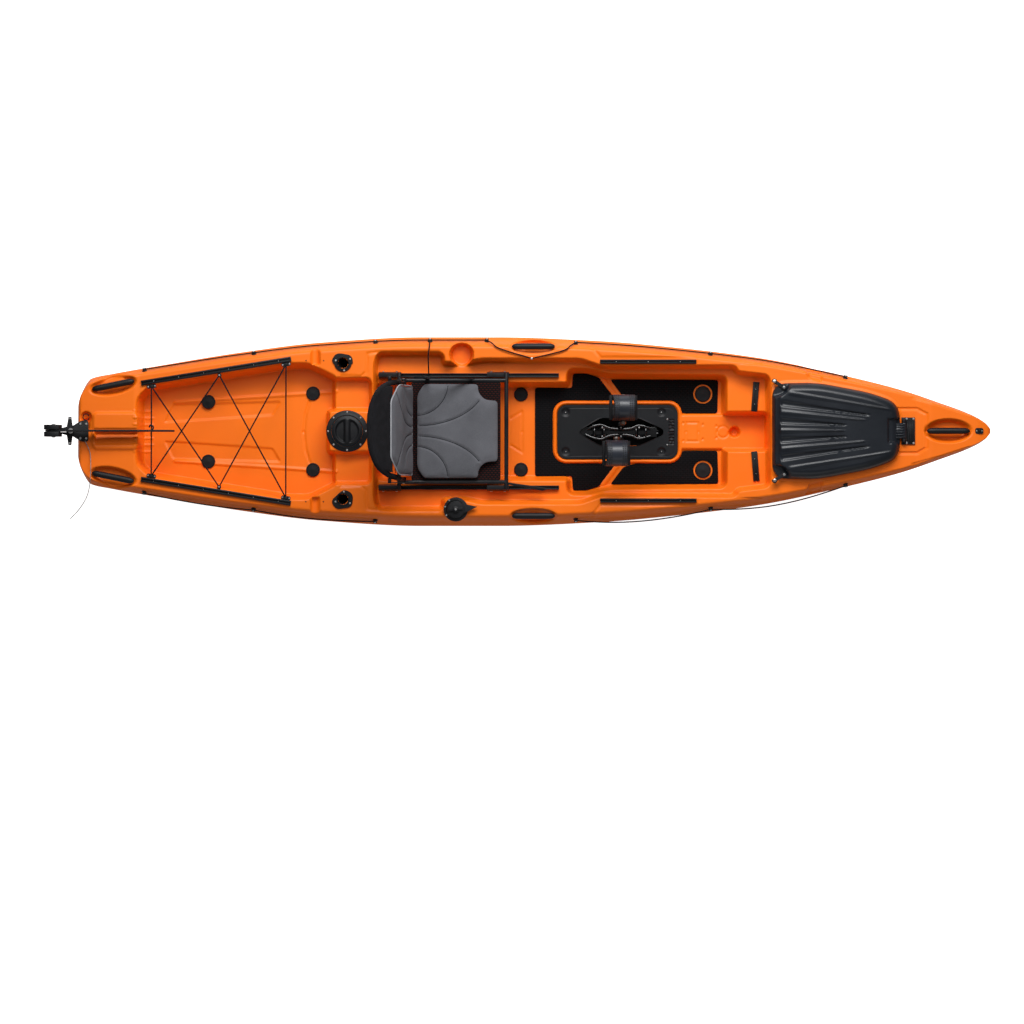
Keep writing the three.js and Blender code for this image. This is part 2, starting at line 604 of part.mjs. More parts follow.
// A flush rod holder: rounded three-cornered flange and a slanted tube closed at its foot.
const rodWall = 3;
const rodFlangeShares = [[-1, 0.15], [-0.55, 1], [0.75, 0.75], [0.85, -0.5], [0.1, -1]];
const rodFlangeLength = 109;
const rodFlangeWidth = 92;
function rodHolder(side) {
  const outline = rodFlangeShares.map(([x, y]) => [
    rodStation + (x * rodFlangeLength) / 2, side * (rodOffset + (y * rodFlangeWidth) / 2)]);
  const base = deckTop(rodStation) + seatGap;
  const flange = prism(rounded(outline, cornerRadius), base, base + rodFlange);
  const lip = upright(rodStation, side * rodOffset, base, base + rodFlange + rodWall, rodRadius + 2 * rodWall,
    rodRadius + rodWall, 16);
  const tube = slanted(rodMouth(side), rodRadius + rodWall, -rodDepth, rodFlange);
  const bore = slanted(rodMouth(side), rodRadius, rodWall - rodDepth, overrun);
  return join(flange, lip, tube).subtract(bore);
}

// The round hatch behind the seat: ring, seal and twist-off lid with a bar between two finger pockets.
const hatchFlange = 6;
const hatchCollar = 12;
const hatchCollarWall = 3;
const hatchCrown = 5;
const twistBarLength = 112;
const twistBarWidth = 22;
const twistPocket = 52;
function hatchRing() {
  const profile = [[hatchBore, -hatchCollar], [hatchBore + hatchCollarWall - seatGap, -hatchCollar],
    [hatchBore + hatchCollarWall - seatGap, 0], [hatchRadius, 0], [hatchRadius, hatchFlange / 2],
    [hatchRadius - hatchFlange, hatchFlange], [hatchBore, hatchFlange], [hatchBore, -hatchCollar]];
  return turned(profile, hatchStation, 0, hatchBlockTop + seatGap);
}
function hatchSeal() {
  const r = hatchBore - runGap;
  const profile = [[0, -hatchCollar], [r, -hatchCollar], [r, -seatGap], [0, -seatGap]];
  return turned(profile, hatchStation, 0, hatchBlockTop + seatGap);
}
function hatchLid() {
  const r = hatchBore - runGap;
  const top = hatchFlange + hatchCrown;
  const profile = [[0, 0], [r, 0], [r, hatchFlange], [r - hatchCrown, top], [0, top]];
  const z = hatchBlockTop + seatGap;
  const disc = turned(profile, hatchStation, 0, z);
  const pit = upright(hatchStation, 0, z + hatchCrown, z + top + overrun, twistPocket * 0.9, twistPocket, 24);
  const grip = prism(oblong(hatchStation, 0, twistBarWidth, twistBarLength, twistBarWidth / 2), z + seatGap,
    z + top + hatchCrown);
  return disc.subtract(pit).add(grip);
}

// The forward hatch lid: a domed, ribbed moulding over the coaming, hinged at the bow end.
const lidWall = 7;
const lidCrownMiddle = 0.642 * halfLength;
const lidGroove = 5;
const lidGrooveWidth = 26;
const lidLevels = [[0, 0], [0, 0.2], [0.32, 0.66], [0.8, 0.95], [1, 1]];
const lidShoulder = 36;
const hingeStation = 0.8099 * halfLength;
const lidSpring = 14;
const hingeHeight = lidSeat + lidSpring;
const hingePin = 4;
const hingeKnuckle = 10;
const hingeHalf = 36;
const hingeLeaf = 50;
const hingePlate = 5;
const latchPivotStation = 0.5472 * halfLength;
const latchPivotOffset = 0.4584 * halfBeam;
const latchThick = 8;
const latchPin = 5;
const latchHub = 12;
const latchFloor = lidSeat + coamingRise + wall;
const latchWidth = 15;
function lidBody(inset, low) {
  const base = lidSeat + seatGap;
  const crown = (x) => {
    const away = (x - lidCrownMiddle) / (hingeStation - lidCrownMiddle);
    return 1 - 0.28 * away ** 4 - 0.05 * away ** 2;
  };
  return loft(lidLevels.map(([side, rise], i) => grown(lidOutline, -lidShoulder * side - inset)
    .map(([x, y]) => [x, y, base + (i ? lidRise * rise * crown(x) - inset : low)])));
}
function frontLid() {
  const outer = lidBody(0, 0);
  const base = lidSeat + seatGap;
  const corner = (s, low, high) => prism([
    [studStation - latchHub, s * studOffset - s * latchHub * 3.4], [latchPivotStation + latchHub * 2.6,
      s * (latchPivotOffset - latchHub * 1.4)], [latchPivotStation + latchHub * 3.4, s * halfBeam],
    [studStation - latchHub, s * halfBeam]], low, high);
  const corners = bothSides.map((s) => corner(s, lidSeat + coamingRise + runGap, latchFloor).intersect(outer));
  const pins = bothSides.map((s) => upright(latchPivotStation, s * latchPivotOffset, latchFloor - wall,
    latchFloor + latchThick + 2 * runGap, latchPin, latchPin, 12));
  const [[aft]] = placed(lidShares);
  const grooves = [[-0.62, 0.78], [-0.22, 0.55], [0.22, 0.55], [0.62, 0.78]].map(([y, reach]) => {
    const from = aft + lidShoulder;
    const to = aft + lidShoulder + reach * (hingeStation - aft - 2 * lidShoulder);
    const wide = lidGrooveWidth / 2;
    const side = y * (studOffset - lidShoulder);
    const tip = side * 0.72;
    return prism([[from, side - wide], [to, tip - wide / 6], [to, tip + wide / 6], [from, side + wide]],
      base + lidRise - lidGroove, above);
  });
  const arm = box(hingeStation - 2 * lidShoulder, hingeStation, -hingeHalf, hingeHalf,
    lidSeat + coamingRise + runGap, hingeHeight + wall);
  const knuckle = across(hingeStation, hingeHeight, -hingeHalf, hingeHalf, hingeKnuckle);
  const shell = outer.subtract(lidBody(lidWall, -overrun));
  const inside = box(aft, hingeStation - 3 * lidShoulder / 2, -studOffset, studOffset, 0, above);
  return cut(
    join(shell, ...corners),
    ...bothSides.map((s) => corner(s, latchFloor, above)),
    ...grooves,
  ).add(arm.subtract(inside)).add(knuckle).add(join(...pins))
    .subtract(across(hingeStation, hingeHeight, -hingeLeaf, hingeLeaf, hingePin + seatGap, 12));
}
function lidHinge() {
  const base = deckTop(hingeStation + hingeLeaf) + seatGap;
  const plate = box(hingeStation - hingeKnuckle, hingeStation + hingeLeaf, -hingeLeaf - hingeKnuckle,
    hingeLeaf + hingeKnuckle, base, base + hingePlate);
  const gap = box(hingeStation - overrun, hingeStation + hingeKnuckle + runGap, -hingeHalf - runGap,
    hingeHalf + runGap, 0, above);
  const ears = join(...bothSides.map((s) => {
    const span = [s * (hingeHalf + runGap), s * (hingeLeaf + runGap)].sort((a, b) => a - b);
    return across(hingeStation, hingeHeight, ...span, hingeKnuckle, 16)
      .add(box(hingeStation - hingeKnuckle, hingeStation + hingeKnuckle, ...span, base, hingeHeight));
  }));
  return plate.subtract(gap).add(ears)
    .add(across(hingeStation, hingeHeight, -hingeLeaf, hingeLeaf, hingePin, 12));
}

// A latch: it turns on its pin on the lid and its open hook goes round the stud on the deck.
function latch(side) {
  const run = [studStation - latchPivotStation, side * (studOffset - latchPivotOffset)];
  const reach = Math.hypot(...run);
  const low = latchFloor + runGap;
  const high = low + latchThick;
  const hookBore = studRadius + runGap;
  const arm = box(0, reach, -latchWidth / 2, latchWidth / 2, low, high);
  const hub = upright(0, 0, low, high, latchHub, latchHub, 16);
  const hook = upright(reach, 0, low, high, hookBore + latchHub / 2, hookBore + latchHub / 2, 16);
  const mouth = [0, side * 2 * latchHub].sort((a, b) => a - b);
  return cut(
    join(arm, hub, hook),
    upright(0, 0, 0, above, latchPin + seatGap, latchPin + seatGap, 12),
    upright(reach, 0, 0, above, hookBore, hookBore, 12),
    box(reach - hookBore, reach + hookBore, ...mouth, 0, above),
  ).rotate([0, 0, Math.atan2(run[1], run[0]) * 180 / Math.PI])
    .translate([latchPivotStation, side * latchPivotOffset, 0]);
}

// The drive: deck plate, spine in the well, two cranks with pedals and two fins under the hull.
const plateGap = 1;
const slotShares = [[-0.5, 0.06], [-0.25, 0.5], [0.2, 0.5], [0.5, 0.1]];
const slotCentre = 0.1956 * halfLength;
const gripBarLength = 124;
const gripBarWidth = 25;
const gripBarRibs = 9;
const dimpleRadius = 12;
const dimpleInset = 46;
const spineHalf = 22;
const spineFoot = 3;
const crankStation = 0.1946 * halfLength;
const crankHeight = 52;
const crankAxle = 7;
const crankHub = 16;
const crankFrom = 24;
const crankTo = 42;
const crankLength = 346;
const crankWidth = 21;
const crankThick = 9;
const sleeveLength = 170;
const pedalAxle = 6;
const pedalFrom = 46;
const pedalTo = 154;
const pedalLength = 124;
const pedalThick = 15;
const strapHeight = 84;
const strapWidth = 46;
const strapThick = 4;
const crankRest = { port: 0, starboard: -0.09 };
const finShaft = 5;
const finShaftHeight = -14;
const finHub = 12;
const finSpan = 279;
const finThick = 11;
const finPitch = 0.368 * wellLength;
const finStart = plateCentre - 0.32 * wellLength;
const finChord = 0.888 * finPitch;
const lugLength = 9;
const finShares = [[0, 0, 1], [0.3, -0.08, 0.77], [0.6, -0.17, 0.54], [0.88, -0.25, 0.33], [0.97, -0.22, 0.22],
  [1, -0.14, 0.12]];
const foilShares = [[0, 0.12], [0.35, 0.52], [0.8, 0.6], [1, 0.2]];
function drivePlate() {
  const base = cockpitFloor + seatGap;
  const top = base + plateThick;
  const outline = oblong(plateCentre, 0, plateLength - 2 * plateGap, plateWidth - 2 * plateGap, plateCorner);
  const slot = whole(slotShares.map(([x, y]) => [slotCentre + x * slotLength, y * slotWidth]));
  const end = plateX[1] - dimpleInset / 2;
  const dimples = bothSides.flatMap((s) => [plateX[0] + dimpleInset, plateX[1] - dimpleInset]
    .map((x) => upright(x, s * (plateWidth / 2 - dimpleInset * 0.75), top - 2 * plateGap, above,
      dimpleRadius * 0.8, dimpleRadius, 12)));
  const pitch = gripBarLength / gripBarRibs;
  const ribs = Array.from({ length: gripBarRibs }, (_, i) => {
    const y = (i + 0.25) * pitch - gripBarLength / 2;
    return box(end - gripBarWidth / 2, end + gripBarWidth / 2, y, y + pitch / 2, top - plateThick / 2, above);
  });
  return cut(prism(outline, base, top), prism(rounded(slot, cornerRadius / 2, 2), 0, above), ...dimples,
    ...ribs);
}
function driveSpine() {
  const [from, to] = [wellX[0] + wellCorner, wellX[1] - wellCorner];
  const top = cockpitFloor - seatGap;
  const outline = [[from, spineFoot + wellCorner], [from + wellCorner, spineFoot], [to - wellCorner, spineFoot],
    [to, spineFoot + wellCorner], [to, top], [to - wellCorner, top], [crankStation + 2 * crankHub,
      crankHeight + crankHub], [crankStation - 2 * crankHub, crankHeight + crankHub],
    [from + wellCorner, top], [from, top]];
  const body = prismAcross(outline, -spineHalf, spineHalf);
  const axle = across(crankStation, crankHeight, -crankTo - 3 * runGap, crankTo + 3 * runGap, crankAxle, 12);
  const caps = bothSides.map((s) => {
    const span = [s * (crankTo + runGap), s * (crankTo + 4 * runGap)].sort((a, b) => a - b);
    return across(crankStation, crankHeight, ...span, crankAxle * 1.5, 12);
  });
  const shaftEnds = [finStart - lugLength - 3 * runGap, finStart + 2 * finPitch + runGap];
  const shaft = lengthways(0, finShaftHeight, ...shaftEnds, finShaft, 12);
  const lugs = [0, 1, 2].map((i) => {
    const x = finStart - lugLength - 2 * runGap + i * finPitch;
    return box(x, x + lugLength, -finHub * 0.7, finHub * 0.7, finShaftHeight - finShaft * 1.6, spineFoot + wall);
  });
  return join(body, axle, ...caps, shaft, ...lugs);
}
function crankTip(side) {
  const turn = side > 0 ? crankRest.port : crankRest.starboard;
  return [crankStation + crankLength * Math.sin(turn), crankHeight + crankLength * Math.cos(turn)];
}
function crank(side) {
  const turn = side > 0 ? crankRest.port : crankRest.starboard;
  const span = (a, b) => [side * a, side * b].sort((p, q) => p - q);
  const middle = (crankFrom + crankTo) / 2;
  const [w, t] = [crankWidth / 2, crankThick / 2];
  const arm = box(-w, w, ...span(middle - t, middle + t), 0, crankLength);
  const sleeve = prismAcross([[-w * 1.3, 0], [w * 1.3, 0], [w * 1.15, sleeveLength], [-w * 1.15, sleeveLength]],
    ...span(middle - t * 1.5, middle + t * 1.5));
  const hub = across(0, 0, ...span(crankFrom, crankTo), crankHub, 16);
  const head = across(0, crankLength, ...span(middle - t, middle + t * 1.4), w * 1.2, 12);
  const axle = across(0, crankLength, ...span(middle, pedalTo + 2 * runGap), pedalAxle, 10);
  const cap = across(0, crankLength, ...span(pedalTo + runGap, pedalTo + 5 * runGap), pedalAxle * 1.5, 10);
  return join(arm, sleeve, hub, head, axle, cap)
    .subtract(across(0, 0, ...span(0, crankTo + overrun), crankAxle + 2 * seatGap, 10))
    .rotate([0, turn * 180 / Math.PI, 0])
    .translate([crankStation, 0, crankHeight]);
}
function pedal(side) {
  const [x, z] = crankTip(side);
  const span = [side * pedalFrom, side * pedalTo].sort((a, b) => a - b);
  const half = pedalLength / 2;
  const middle = side * (pedalFrom + pedalTo) / 2;
  const wide = (pedalTo - pedalFrom) / 2;
  const outline = [[-half, -pedalThick / 2], [-half * 0.7, -pedalThick], [half * 0.7, -pedalThick],
    [half, -pedalThick / 2], [half, pedalThick * 0.3], [half * 0.9, pedalThick * 0.6],
    [-half * 0.9, pedalThick * 0.6], [-half, pedalThick * 0.3]];
  const plate = prismAcross(outline, ...span);
  const windows = bothSides.map((s) => box(s > 0 ? crankHub : -half * 0.8, s > 0 ? half * 0.8 : -crankHub,
    middle - wide * 0.62, middle + wide * 0.62, -overrun, overrun));
  const weight = box(-crankHub, crankHub, middle - wide * 0.6, middle + wide * 0.6, -pedalThick * 2.2, 0);
  const steps = 10;
  const arch = (reach, height) => Array.from({ length: steps + 1 }, (_, i) => {
    const t = (Math.PI * i) / steps;
    return [middle - reach * Math.cos(t), height * Math.sin(t) ** 0.8];
  });
  const strap = prismAlong([...arch(wide, strapHeight), ...arch(wide - strapThick, strapHeight - strapThick)
    .reverse()], -strapWidth / 2, strapWidth / 2);
  return join(plate.subtract(join(...windows)), weight, strap)
    .subtract(across(0, 0, -halfBeam, halfBeam, pedalAxle + 2 * seatGap, 10))
    .translate([x, 0, z]);
}
function fin(start) {
  const rings = finShares.map(([down, aft, fore]) => {
    const z = finShaftHeight - finHub * 0.6 - down * finSpan;
    const chord = (fore - aft) * finChord;
    const thick = finThick * (1 - 0.55 * down);
    const half = foilShares.map(([u, v]) => [start + aft * finChord + u * chord, v * thick / 2]);
    return [...half, ...half.map(([x, y]) => [x, -y]).reverse()].map(([x, y]) => [x, y, z]);
  });
  const hub = lengthways(0, finShaftHeight, start, start + finChord + lugLength / 2, finHub, 12);
  const screw = across(start + finChord / 2, finShaftHeight - 2 * finHub, -finThick, finThick, finShaft, 8);
  return join(loft(rings), hub, screw)
    .subtract(lengthways(0, finShaftHeight, start - overrun, start + finPitch + overrun, finShaft + seatGap, 12));
}

// The seat: two rails, a frame that slides on them, a folding back frame and two slung pads.
const railFrom = -0.3407 * halfLength;
const railTo = 0.0563 * halfLength;
const railOffset = 0.5938 * halfBeam;
const railHalf = 9;
const railHeight = 17;
const shoeCheek = 5;
const shoeGap = 0.8;
const shoeLength = 98;
const shoeStations = [-0.315 * halfLength, -0.0775 * halfLength];
const frameStep = 24;
const frameOffset = railOffset - frameStep;
const frameTube = 9.5;
const seatRise = 52;
const frameHeight = shelfFloor + seatRise;
const frameAft = -0.2943 * halfLength;
const frameFore = -0.0593 * halfLength;
const backHinge = -0.284 * halfLength;
const hingeRise = 36;
const backHingeHeight = frameHeight + hingeRise;
const backPin = 5;
const backKnuckle = 12;
const backInset = 4.8;
const knuckleWidth = 16.2;
const backTo = frameOffset - backInset;
const backFrom = backTo - knuckleWidth;
const lugThick = 7;
const backTube = 9;
const backRises = [[0, 1.034, 0], [-13, 1.034, 102], [-30, 1.005, 232], [-57, 0.956, 312],
  [-97, 0.78, 380], [-125, 0.439, 408], [-133, 0, 414]];
const backRoute = backRises.map(([x, y, z]) => [backHinge + x, y * backFrom, backHingeHeight + z]);
function seatRail(side) {
  const base = shelfFloor + seatGap;
  const y = side * railOffset;
  const outline = [[y - railHalf, base], [y + railHalf, base], [y + railHalf, base + railHeight],
    [y + railHalf / 2, base + railHeight], [y + railHalf / 2, base + railHeight / 2],
    [y - railHalf / 2, base + railHeight / 2], [y - railHalf / 2, base + railHeight],
    [y - railHalf, base + railHeight]];
  return prismAlong(outline, railFrom, railTo);
}
function seatFrame() {
  const railTop = shelfFloor + seatGap + railHeight;
  const bars = bothSides.map((s) => lengthways(s * frameOffset, frameHeight, frameAft, frameFore, frameTube, 10));
  const ties = [frameAft, frameFore].map((x) =>
    across(x, frameHeight, -railOffset - railHalf, railOffset + railHalf, frameTube, 10));
  const shoes = shoeStations.flatMap((x) => bothSides.map((s) => {
    const y = s * railOffset;
    const [inner, outer] = [railHalf + shoeGap, railHalf + shoeGap + shoeCheek];
    const outline = [[y - outer, railTop - railHeight / 2], [y - inner, railTop - railHeight / 2],
      [y - inner, railTop + shoeGap], [y + inner, railTop + shoeGap], [y + inner, railTop - railHeight / 2],
      [y + outer, railTop - railHeight / 2], [y + outer, railTop + shoeGap + shoeCheek],
      [y + railHalf, frameHeight], [y - railHalf, frameHeight], [y - outer, railTop + shoeGap + shoeCheek]];
    return prismAlong(outline, x - shoeLength / 2, x + shoeLength / 2);
  }));
  const lugs = bothSides.flatMap((s) => {
    const span = (a, b) => [s * a, s * b].sort((p, q) => p - q);
    const sheet = [[backHinge - backKnuckle, frameHeight], [backHinge + backKnuckle, frameHeight],
      [backHinge + backKnuckle, backHingeHeight], [backHinge, backHingeHeight + backKnuckle],
      [backHinge - backKnuckle, backHingeHeight]];
    return [prismAcross(sheet, ...span(backTo + runGap, backTo + runGap + lugThick)),
      across(backHinge, backHingeHeight, ...span(backFrom - 2 * runGap, backTo + 2 * runGap), backPin, 10)];
  });
  const adjuster = prism([[frameFore, -frameOffset - frameTube], [frameFore, -frameOffset],
    [railTo - shoeLength * 0.7, -railOffset], [railTo - shoeLength * 0.55, -railOffset - railHalf],
    [railTo - shoeLength * 0.75, -railOffset - 1.6 * railHalf]], frameHeight - frameTube, frameHeight);
  return join(...bars, ...ties, ...shoes, ...lugs, adjuster);
}
function backFrame() {
  const half = backRoute.slice(0, -1);
  const route = [...backRoute, ...half.map(([x, y, z]) => [x, -y, z]).reverse()];
  const arch = bar(route, backTube, 22, 6);
  const [neck, foot] = [backRoute[4], backRoute[1]];
  const head = bar([[neck[0], neck[1], neck[2]], [neck[0] - 2 * backTube, 0, neck[2] - 3 * backTube],
    [neck[0], -neck[1], neck[2]]], backTube * 0.8, 6, 6);
  const brace = bar([[foot[0], foot[1], foot[2]], [foot[0] - 4 * backTube, 0, foot[2]],
    [foot[0], -foot[1], foot[2]]], backTube * 0.8, 6, 6);
  const knuckles = bothSides.map((s) => across(backHinge, backHingeHeight,
    ...[s * backFrom, s * backTo].sort((a, b) => a - b), backKnuckle, 16));
  return join(arch, head, brace, ...knuckles)
    .subtract(across(backHinge, backHingeHeight, -halfBeam, halfBeam, backPin + 2 * seatGap, 10));
}

// A stuffed pad: a closed body over a grid, its face given by a formula and its back by another.
function pad(columns, rows, front, back) {
  const places = [];
  const corners = [];
  const row = columns + 1;
  const ring = [];
  for (let c = 0; c <= columns; c++) ring.push([c, 0]);
  for (let r = 1; r <= rows; r++) ring.push([columns, r]);
  for (let c = columns - 1; c >= 0; c--) ring.push([c, rows]);
  for (let r = rows - 1; r > 0; r--) ring.push([0, r]);
  for (let r = 0; r <= rows; r++) {
    for (let c = 0; c <= columns; c++) places.push(front(c / columns, r / rows));
  }
  for (let r = 0; r < rows; r++) {
    for (let c = 0; c < columns; c++) {
      const a = r * row + c;
      corners.push(a, a + 1, a + row + 1, a, a + row + 1, a + row);
    }
  }
  const rim = places.length;
  ring.forEach(([c, r]) => places.push(back(c / columns, r / rows)));
  places.push(back(0.5, 0.5));
  ring.forEach(([c, r], i) => {
    const next = (i + 1) % ring.length;
    const a = r * row + c;
    const b = ring[next][1] * row + ring[next][0];
    corners.push(a, rim + i, rim + next, a, rim + next, b, rim + i, rim + ring.length, rim + next);
  });
  return solid(new THREE.BufferGeometry()
    .setAttribute("position", new THREE.Float32BufferAttribute(places.flat(), 3))
    .setIndex(corners));
}

// Depth of the sewn channels at a place: arcs about given centres, all in shares of the pad.
function channelDepth(arcs, u, v, width) {
  return Math.max(...arcs.map(([cu, cv, radius]) =>
    Math.max(0, 1 - Math.abs(Math.hypot(u - cu, v - cv) - radius) / width)));
}
const seatPadFrom = -0.2588 * halfLength;
const seatPadTo = -0.0721 * halfLength;
const padInset = 7;
const seatPadHalf = frameOffset - padInset;
const padLift = 7.2;
const seatPadBase = frameHeight + padLift;
const seatPadEdge = 22;
const seatPadCrown = 15;
const seatPadNotch = 46;
const seatPadSew = 5;
const seatArcShares = [[0, 0.05, 0.34], [0, 0.05, 0.72], [0, 0.95, 0.34], [0, 0.95, 0.72]];
const sewWidthShare = 0.045;
function seatPad() {
  const at = (u, v) => [seatPadFrom + u * (seatPadTo - seatPadFrom), (2 * v - 1) * seatPadHalf];
  const top = (u, v) => {
    const crown = (1 - (2 * u - 1) ** 4) * (1 - (2 * v - 1) ** 4);
    const sewn = channelDepth(seatArcShares, u, v, sewWidthShare) * seatPadSew;
    return [...at(u, v), seatPadBase + seatPadEdge * (0.35 + 0.65 * crown ** 0.3) + seatPadCrown * crown - sewn];
  };
  const body = pad(18, 20, top, (u, v) => [...at(u, v), seatPadBase]);
  const notches = [seatPadFrom, seatPadTo].flatMap((x) => bothSides.map((s) =>
    upright(x, s * seatPadHalf, 0, above * 2, seatPadNotch, seatPadNotch, 16)));
  return cut(body, ...notches);
}
const padClear = 24;
const padTall = 320;
const backPadLow = backHingeHeight + padClear;
const backPadHigh = backPadLow + padTall;
const backPadThick = 24;
const backPadMesh = 5;
const backPadGap = 0.6;
const backArcShares = [[0.25, 0.2, 0.3], [0.75, 0.2, 0.3], [0.5, 0.2, 0.62]];
function backPad() {
  const at = (u, v) => {
    const z = backPadLow + v * (backPadHigh - backPadLow);
    const [x, half] = [0, 1].map((axis) => fair(backRoute.slice(0, 5).map((p) => [p[2], p[axis]]), z));
    return [x + backTube + backPadGap, (2 * u - 1) * half, z];
  };
  const face = (u, v) => {
    const [x, y, z] = at(u, v);
    const crown = (1 - (2 * u - 1) ** 4) * Math.min(1, Math.max(0, (v - 0.2) * 6)) * (1 - v ** 8);
    const sewn = channelDepth(backArcShares, u, v, sewWidthShare) * seatPadSew * crown;
    return [x + backPadMesh + (backPadThick - backPadMesh) * crown - sewn, y, z];
  };
  return pad(16, 18, face, at);
}

// The webbing that stays the back: a long strap to the front of the seat and a short upright one.
const webWidth = 24;
const webThick = 3;
const strapOut = 4;
const strapReach = 15;
const strapOffset = frameOffset + strapOut;
const strapPin = frameOffset - strapReach;
const buckleLength = 40;
const strapEnd = (x, z, along, up) => [x + along, z + up];
const strapHigh = strapEnd(backHinge, backHingeHeight, -51, 286);
const strapLow = strapEnd(backHinge, frameHeight, 307, 20);
const stayHigh = strapEnd(backHinge, backHingeHeight, 93, 164);
const stayLow = strapEnd(backHinge, frameHeight, 105, 10);
function sideStrap(side) {
  const band = ([x0, z0], [x1, z1], width, thick) => {
    const run = Math.hypot(x1 - x0, z1 - z0);
    const [nx, nz] = [(-(z1 - z0) / run) * width / 2, ((x1 - x0) / run) * width / 2];
    const span = [side * (strapOffset - thick), side * (strapOffset + thick)].sort((a, b) => a - b);
    return prismAcross([[x0 - nx, z0 - nz], [x1 - nx, z1 - nz], [x1 + nx, z1 + nz], [x0 + nx, z0 + nz]], ...span);
  };
  const on = (t) => strapHigh.map((a, k) => a + t * (strapLow[k] - a));
  const share = buckleLength / Math.hypot(strapLow[0] - strapHigh[0], strapLow[1] - strapHigh[1]);
  return join(
    band(strapHigh, strapLow, webWidth, webThick),
    band(stayHigh, stayLow, webWidth * 0.8, webThick * 0.8),
    band(on(0.27), on(0.27 + share), webWidth * 1.25, webThick * 1.5),
    across(...strapHigh, ...[side * strapPin, side * (strapOffset + 2 * webThick)].sort((a, b) => a - b),
      webWidth / 3, 12),
  );
}

// Rudder steering: a ridged base on the starboard gunwale and a turning lever that points to the bow.
const leverRadius = 43;
const leverReach = 96;
const leverTurn = 0.12;
const leverHeight = 13;
const leverPin = 6;
const steerBase = 11;
function steeringBase() {
  const top = deckTop(0) + steerBase;
  const dish = upright(steerStation, -steerOffset, deckHeight - 3 * steerBase, top, steerRadius * 0.9,
    steerRadius, 28).subtract(deckRoom());
  const kept = box(-halfLength, halfLength, -halfBeam, -steerOffset + steerRadius * 2, seamAt(0), above);
  const pin = upright(steerStation, -steerOffset, top - runGap, top + leverHeight, leverPin, leverPin, 12);
  return dish.intersect(kept).add(pin);
}
function steeringLever() {
  const low = deckTop(0) + steerBase + runGap;
  const knob = upright(0, 0, low, low + leverHeight, leverRadius, leverRadius * 0.86, 24);
  const bar = box(-leverRadius * 0.7, leverRadius * 0.7, -leverPin, leverPin, low, low + 1.5 * leverHeight);
  const arrow = prism([[leverRadius * 0.5, -leverRadius * 0.6], [leverReach, 0],
    [leverRadius * 0.5, leverRadius * 0.6]], low + runGap, low + leverHeight * 0.7);
  return join(knob, bar, arrow).rotate([0, 0, leverTurn * 180 / Math.PI])
    .translate([steerStation, -steerOffset, 0])
    .subtract(upright(steerStation, -steerOffset, 0, low + leverHeight + runGap, leverPin + seatGap,
      leverPin + seatGap, 12));
}

// Rudder: bracket on the stern, head that swings on its pin, and a blade that flips over forward.
const pinOverhang = 21;
const sternTop = deckShares[0][1] * deckHeight;
const rudderPinStation = -halfLength - pinOverhang;
const rudderPin = 6;
const rudderTube = 12;
const bracketLength = 53;
const bracketFore = bracketLength - halfLength;
const bracketHalf = 24;
const bracketThick = 6;
const headRise = 17;
const headTall = 94;
const headLow = sternTop + headRise;
const headHigh = headLow + headTall;
const headTube = 25;
const tillerHalf = 63;
const tillerThick = 10;
const cheekReach = 112;
const cheekLength = 74;
const cheekAft = rudderPinStation - cheekReach;
const cheekFore = cheekAft + cheekLength;
const cheekHalf = 26;
const cheekGap = 5.4;
const neckHalf = 14;
const bladeInset = 40;
const bladePivot = cheekAft + bladeInset;
const pivotRise = 48;
const bladePivotHeight = headLow + pivotRise;
const bladePin = 6;
const bladeHalf = 4;
const bladeRoot = 37;
const bladeLength = 530;
const bladeTip = bladePivot + bladeLength;
const bladeClear = 16;
const bladeLow = sternTop + bladeClear;
const bladeDrop = 0.085;
const bladeWidth = 70;
function rudderBracket() {
  const base = deckTop(bracketFore) + seatGap;
  const plate = prism(rounded([[bracketFore, -2 * bracketHalf], [bracketFore, 2 * bracketHalf],
    [-halfLength + bracketHalf, 2 * bracketHalf], [rudderPinStation - rudderTube, neckHalf],
    [rudderPinStation - rudderTube, -neckHalf], [-halfLength + bracketHalf, -2 * bracketHalf]], neckHalf, 2),
  base, base + bracketThick);
  const boss = upright(rudderPinStation, 0, base - 2 * bracketThick, headLow - runGap, rudderTube, rudderTube, 16);
  const pin = upright(rudderPinStation, 0, base, headLow + headTube, rudderPin, rudderPin, 12);
  return join(plate, boss, pin);
}
function rudderHead() {
  const top = headLow + headTube;
  const tube = upright(rudderPinStation, 0, headLow, top, rudderTube, rudderTube, 20);
  const tiller = prism([[rudderPinStation, tillerHalf], [rudderPinStation - rudderTube, tillerHalf],
    [rudderPinStation - 1.6 * rudderTube, neckHalf * 1.4], [cheekFore, neckHalf], [cheekFore, -neckHalf],
    [rudderPinStation - 1.6 * rudderTube, -neckHalf * 1.4], [rudderPinStation - rudderTube, -tillerHalf],
    [rudderPinStation, -tillerHalf], [rudderPinStation + neckHalf / 2, -neckHalf],
    [rudderPinStation + neckHalf / 2, neckHalf]], headLow, headLow + tillerThick);
  const neck = box(cheekFore - runGap, rudderPinStation, -neckHalf, neckHalf, headLow, top);
  const cheek = prismAcross(rounded([[cheekAft, headLow], [cheekFore, headLow], [cheekFore, headHigh],
    [cheekAft, headHigh]], 2 * rudderTube), -cheekHalf, cheekHalf);
  const slot = box(cheekAft - overrun, rudderPinStation - rudderTube * 1.6, -cheekGap, cheekGap, 0, above);
  const pin = across(bladePivot, bladePivotHeight, -cheekHalf, cheekHalf, bladePin, 12);
  return cut(join(tube, tiller, neck, cheek), slot,
    upright(rudderPinStation, 0, 0, above, rudderPin + seatGap, rudderPin + seatGap, 12)).add(pin);
}
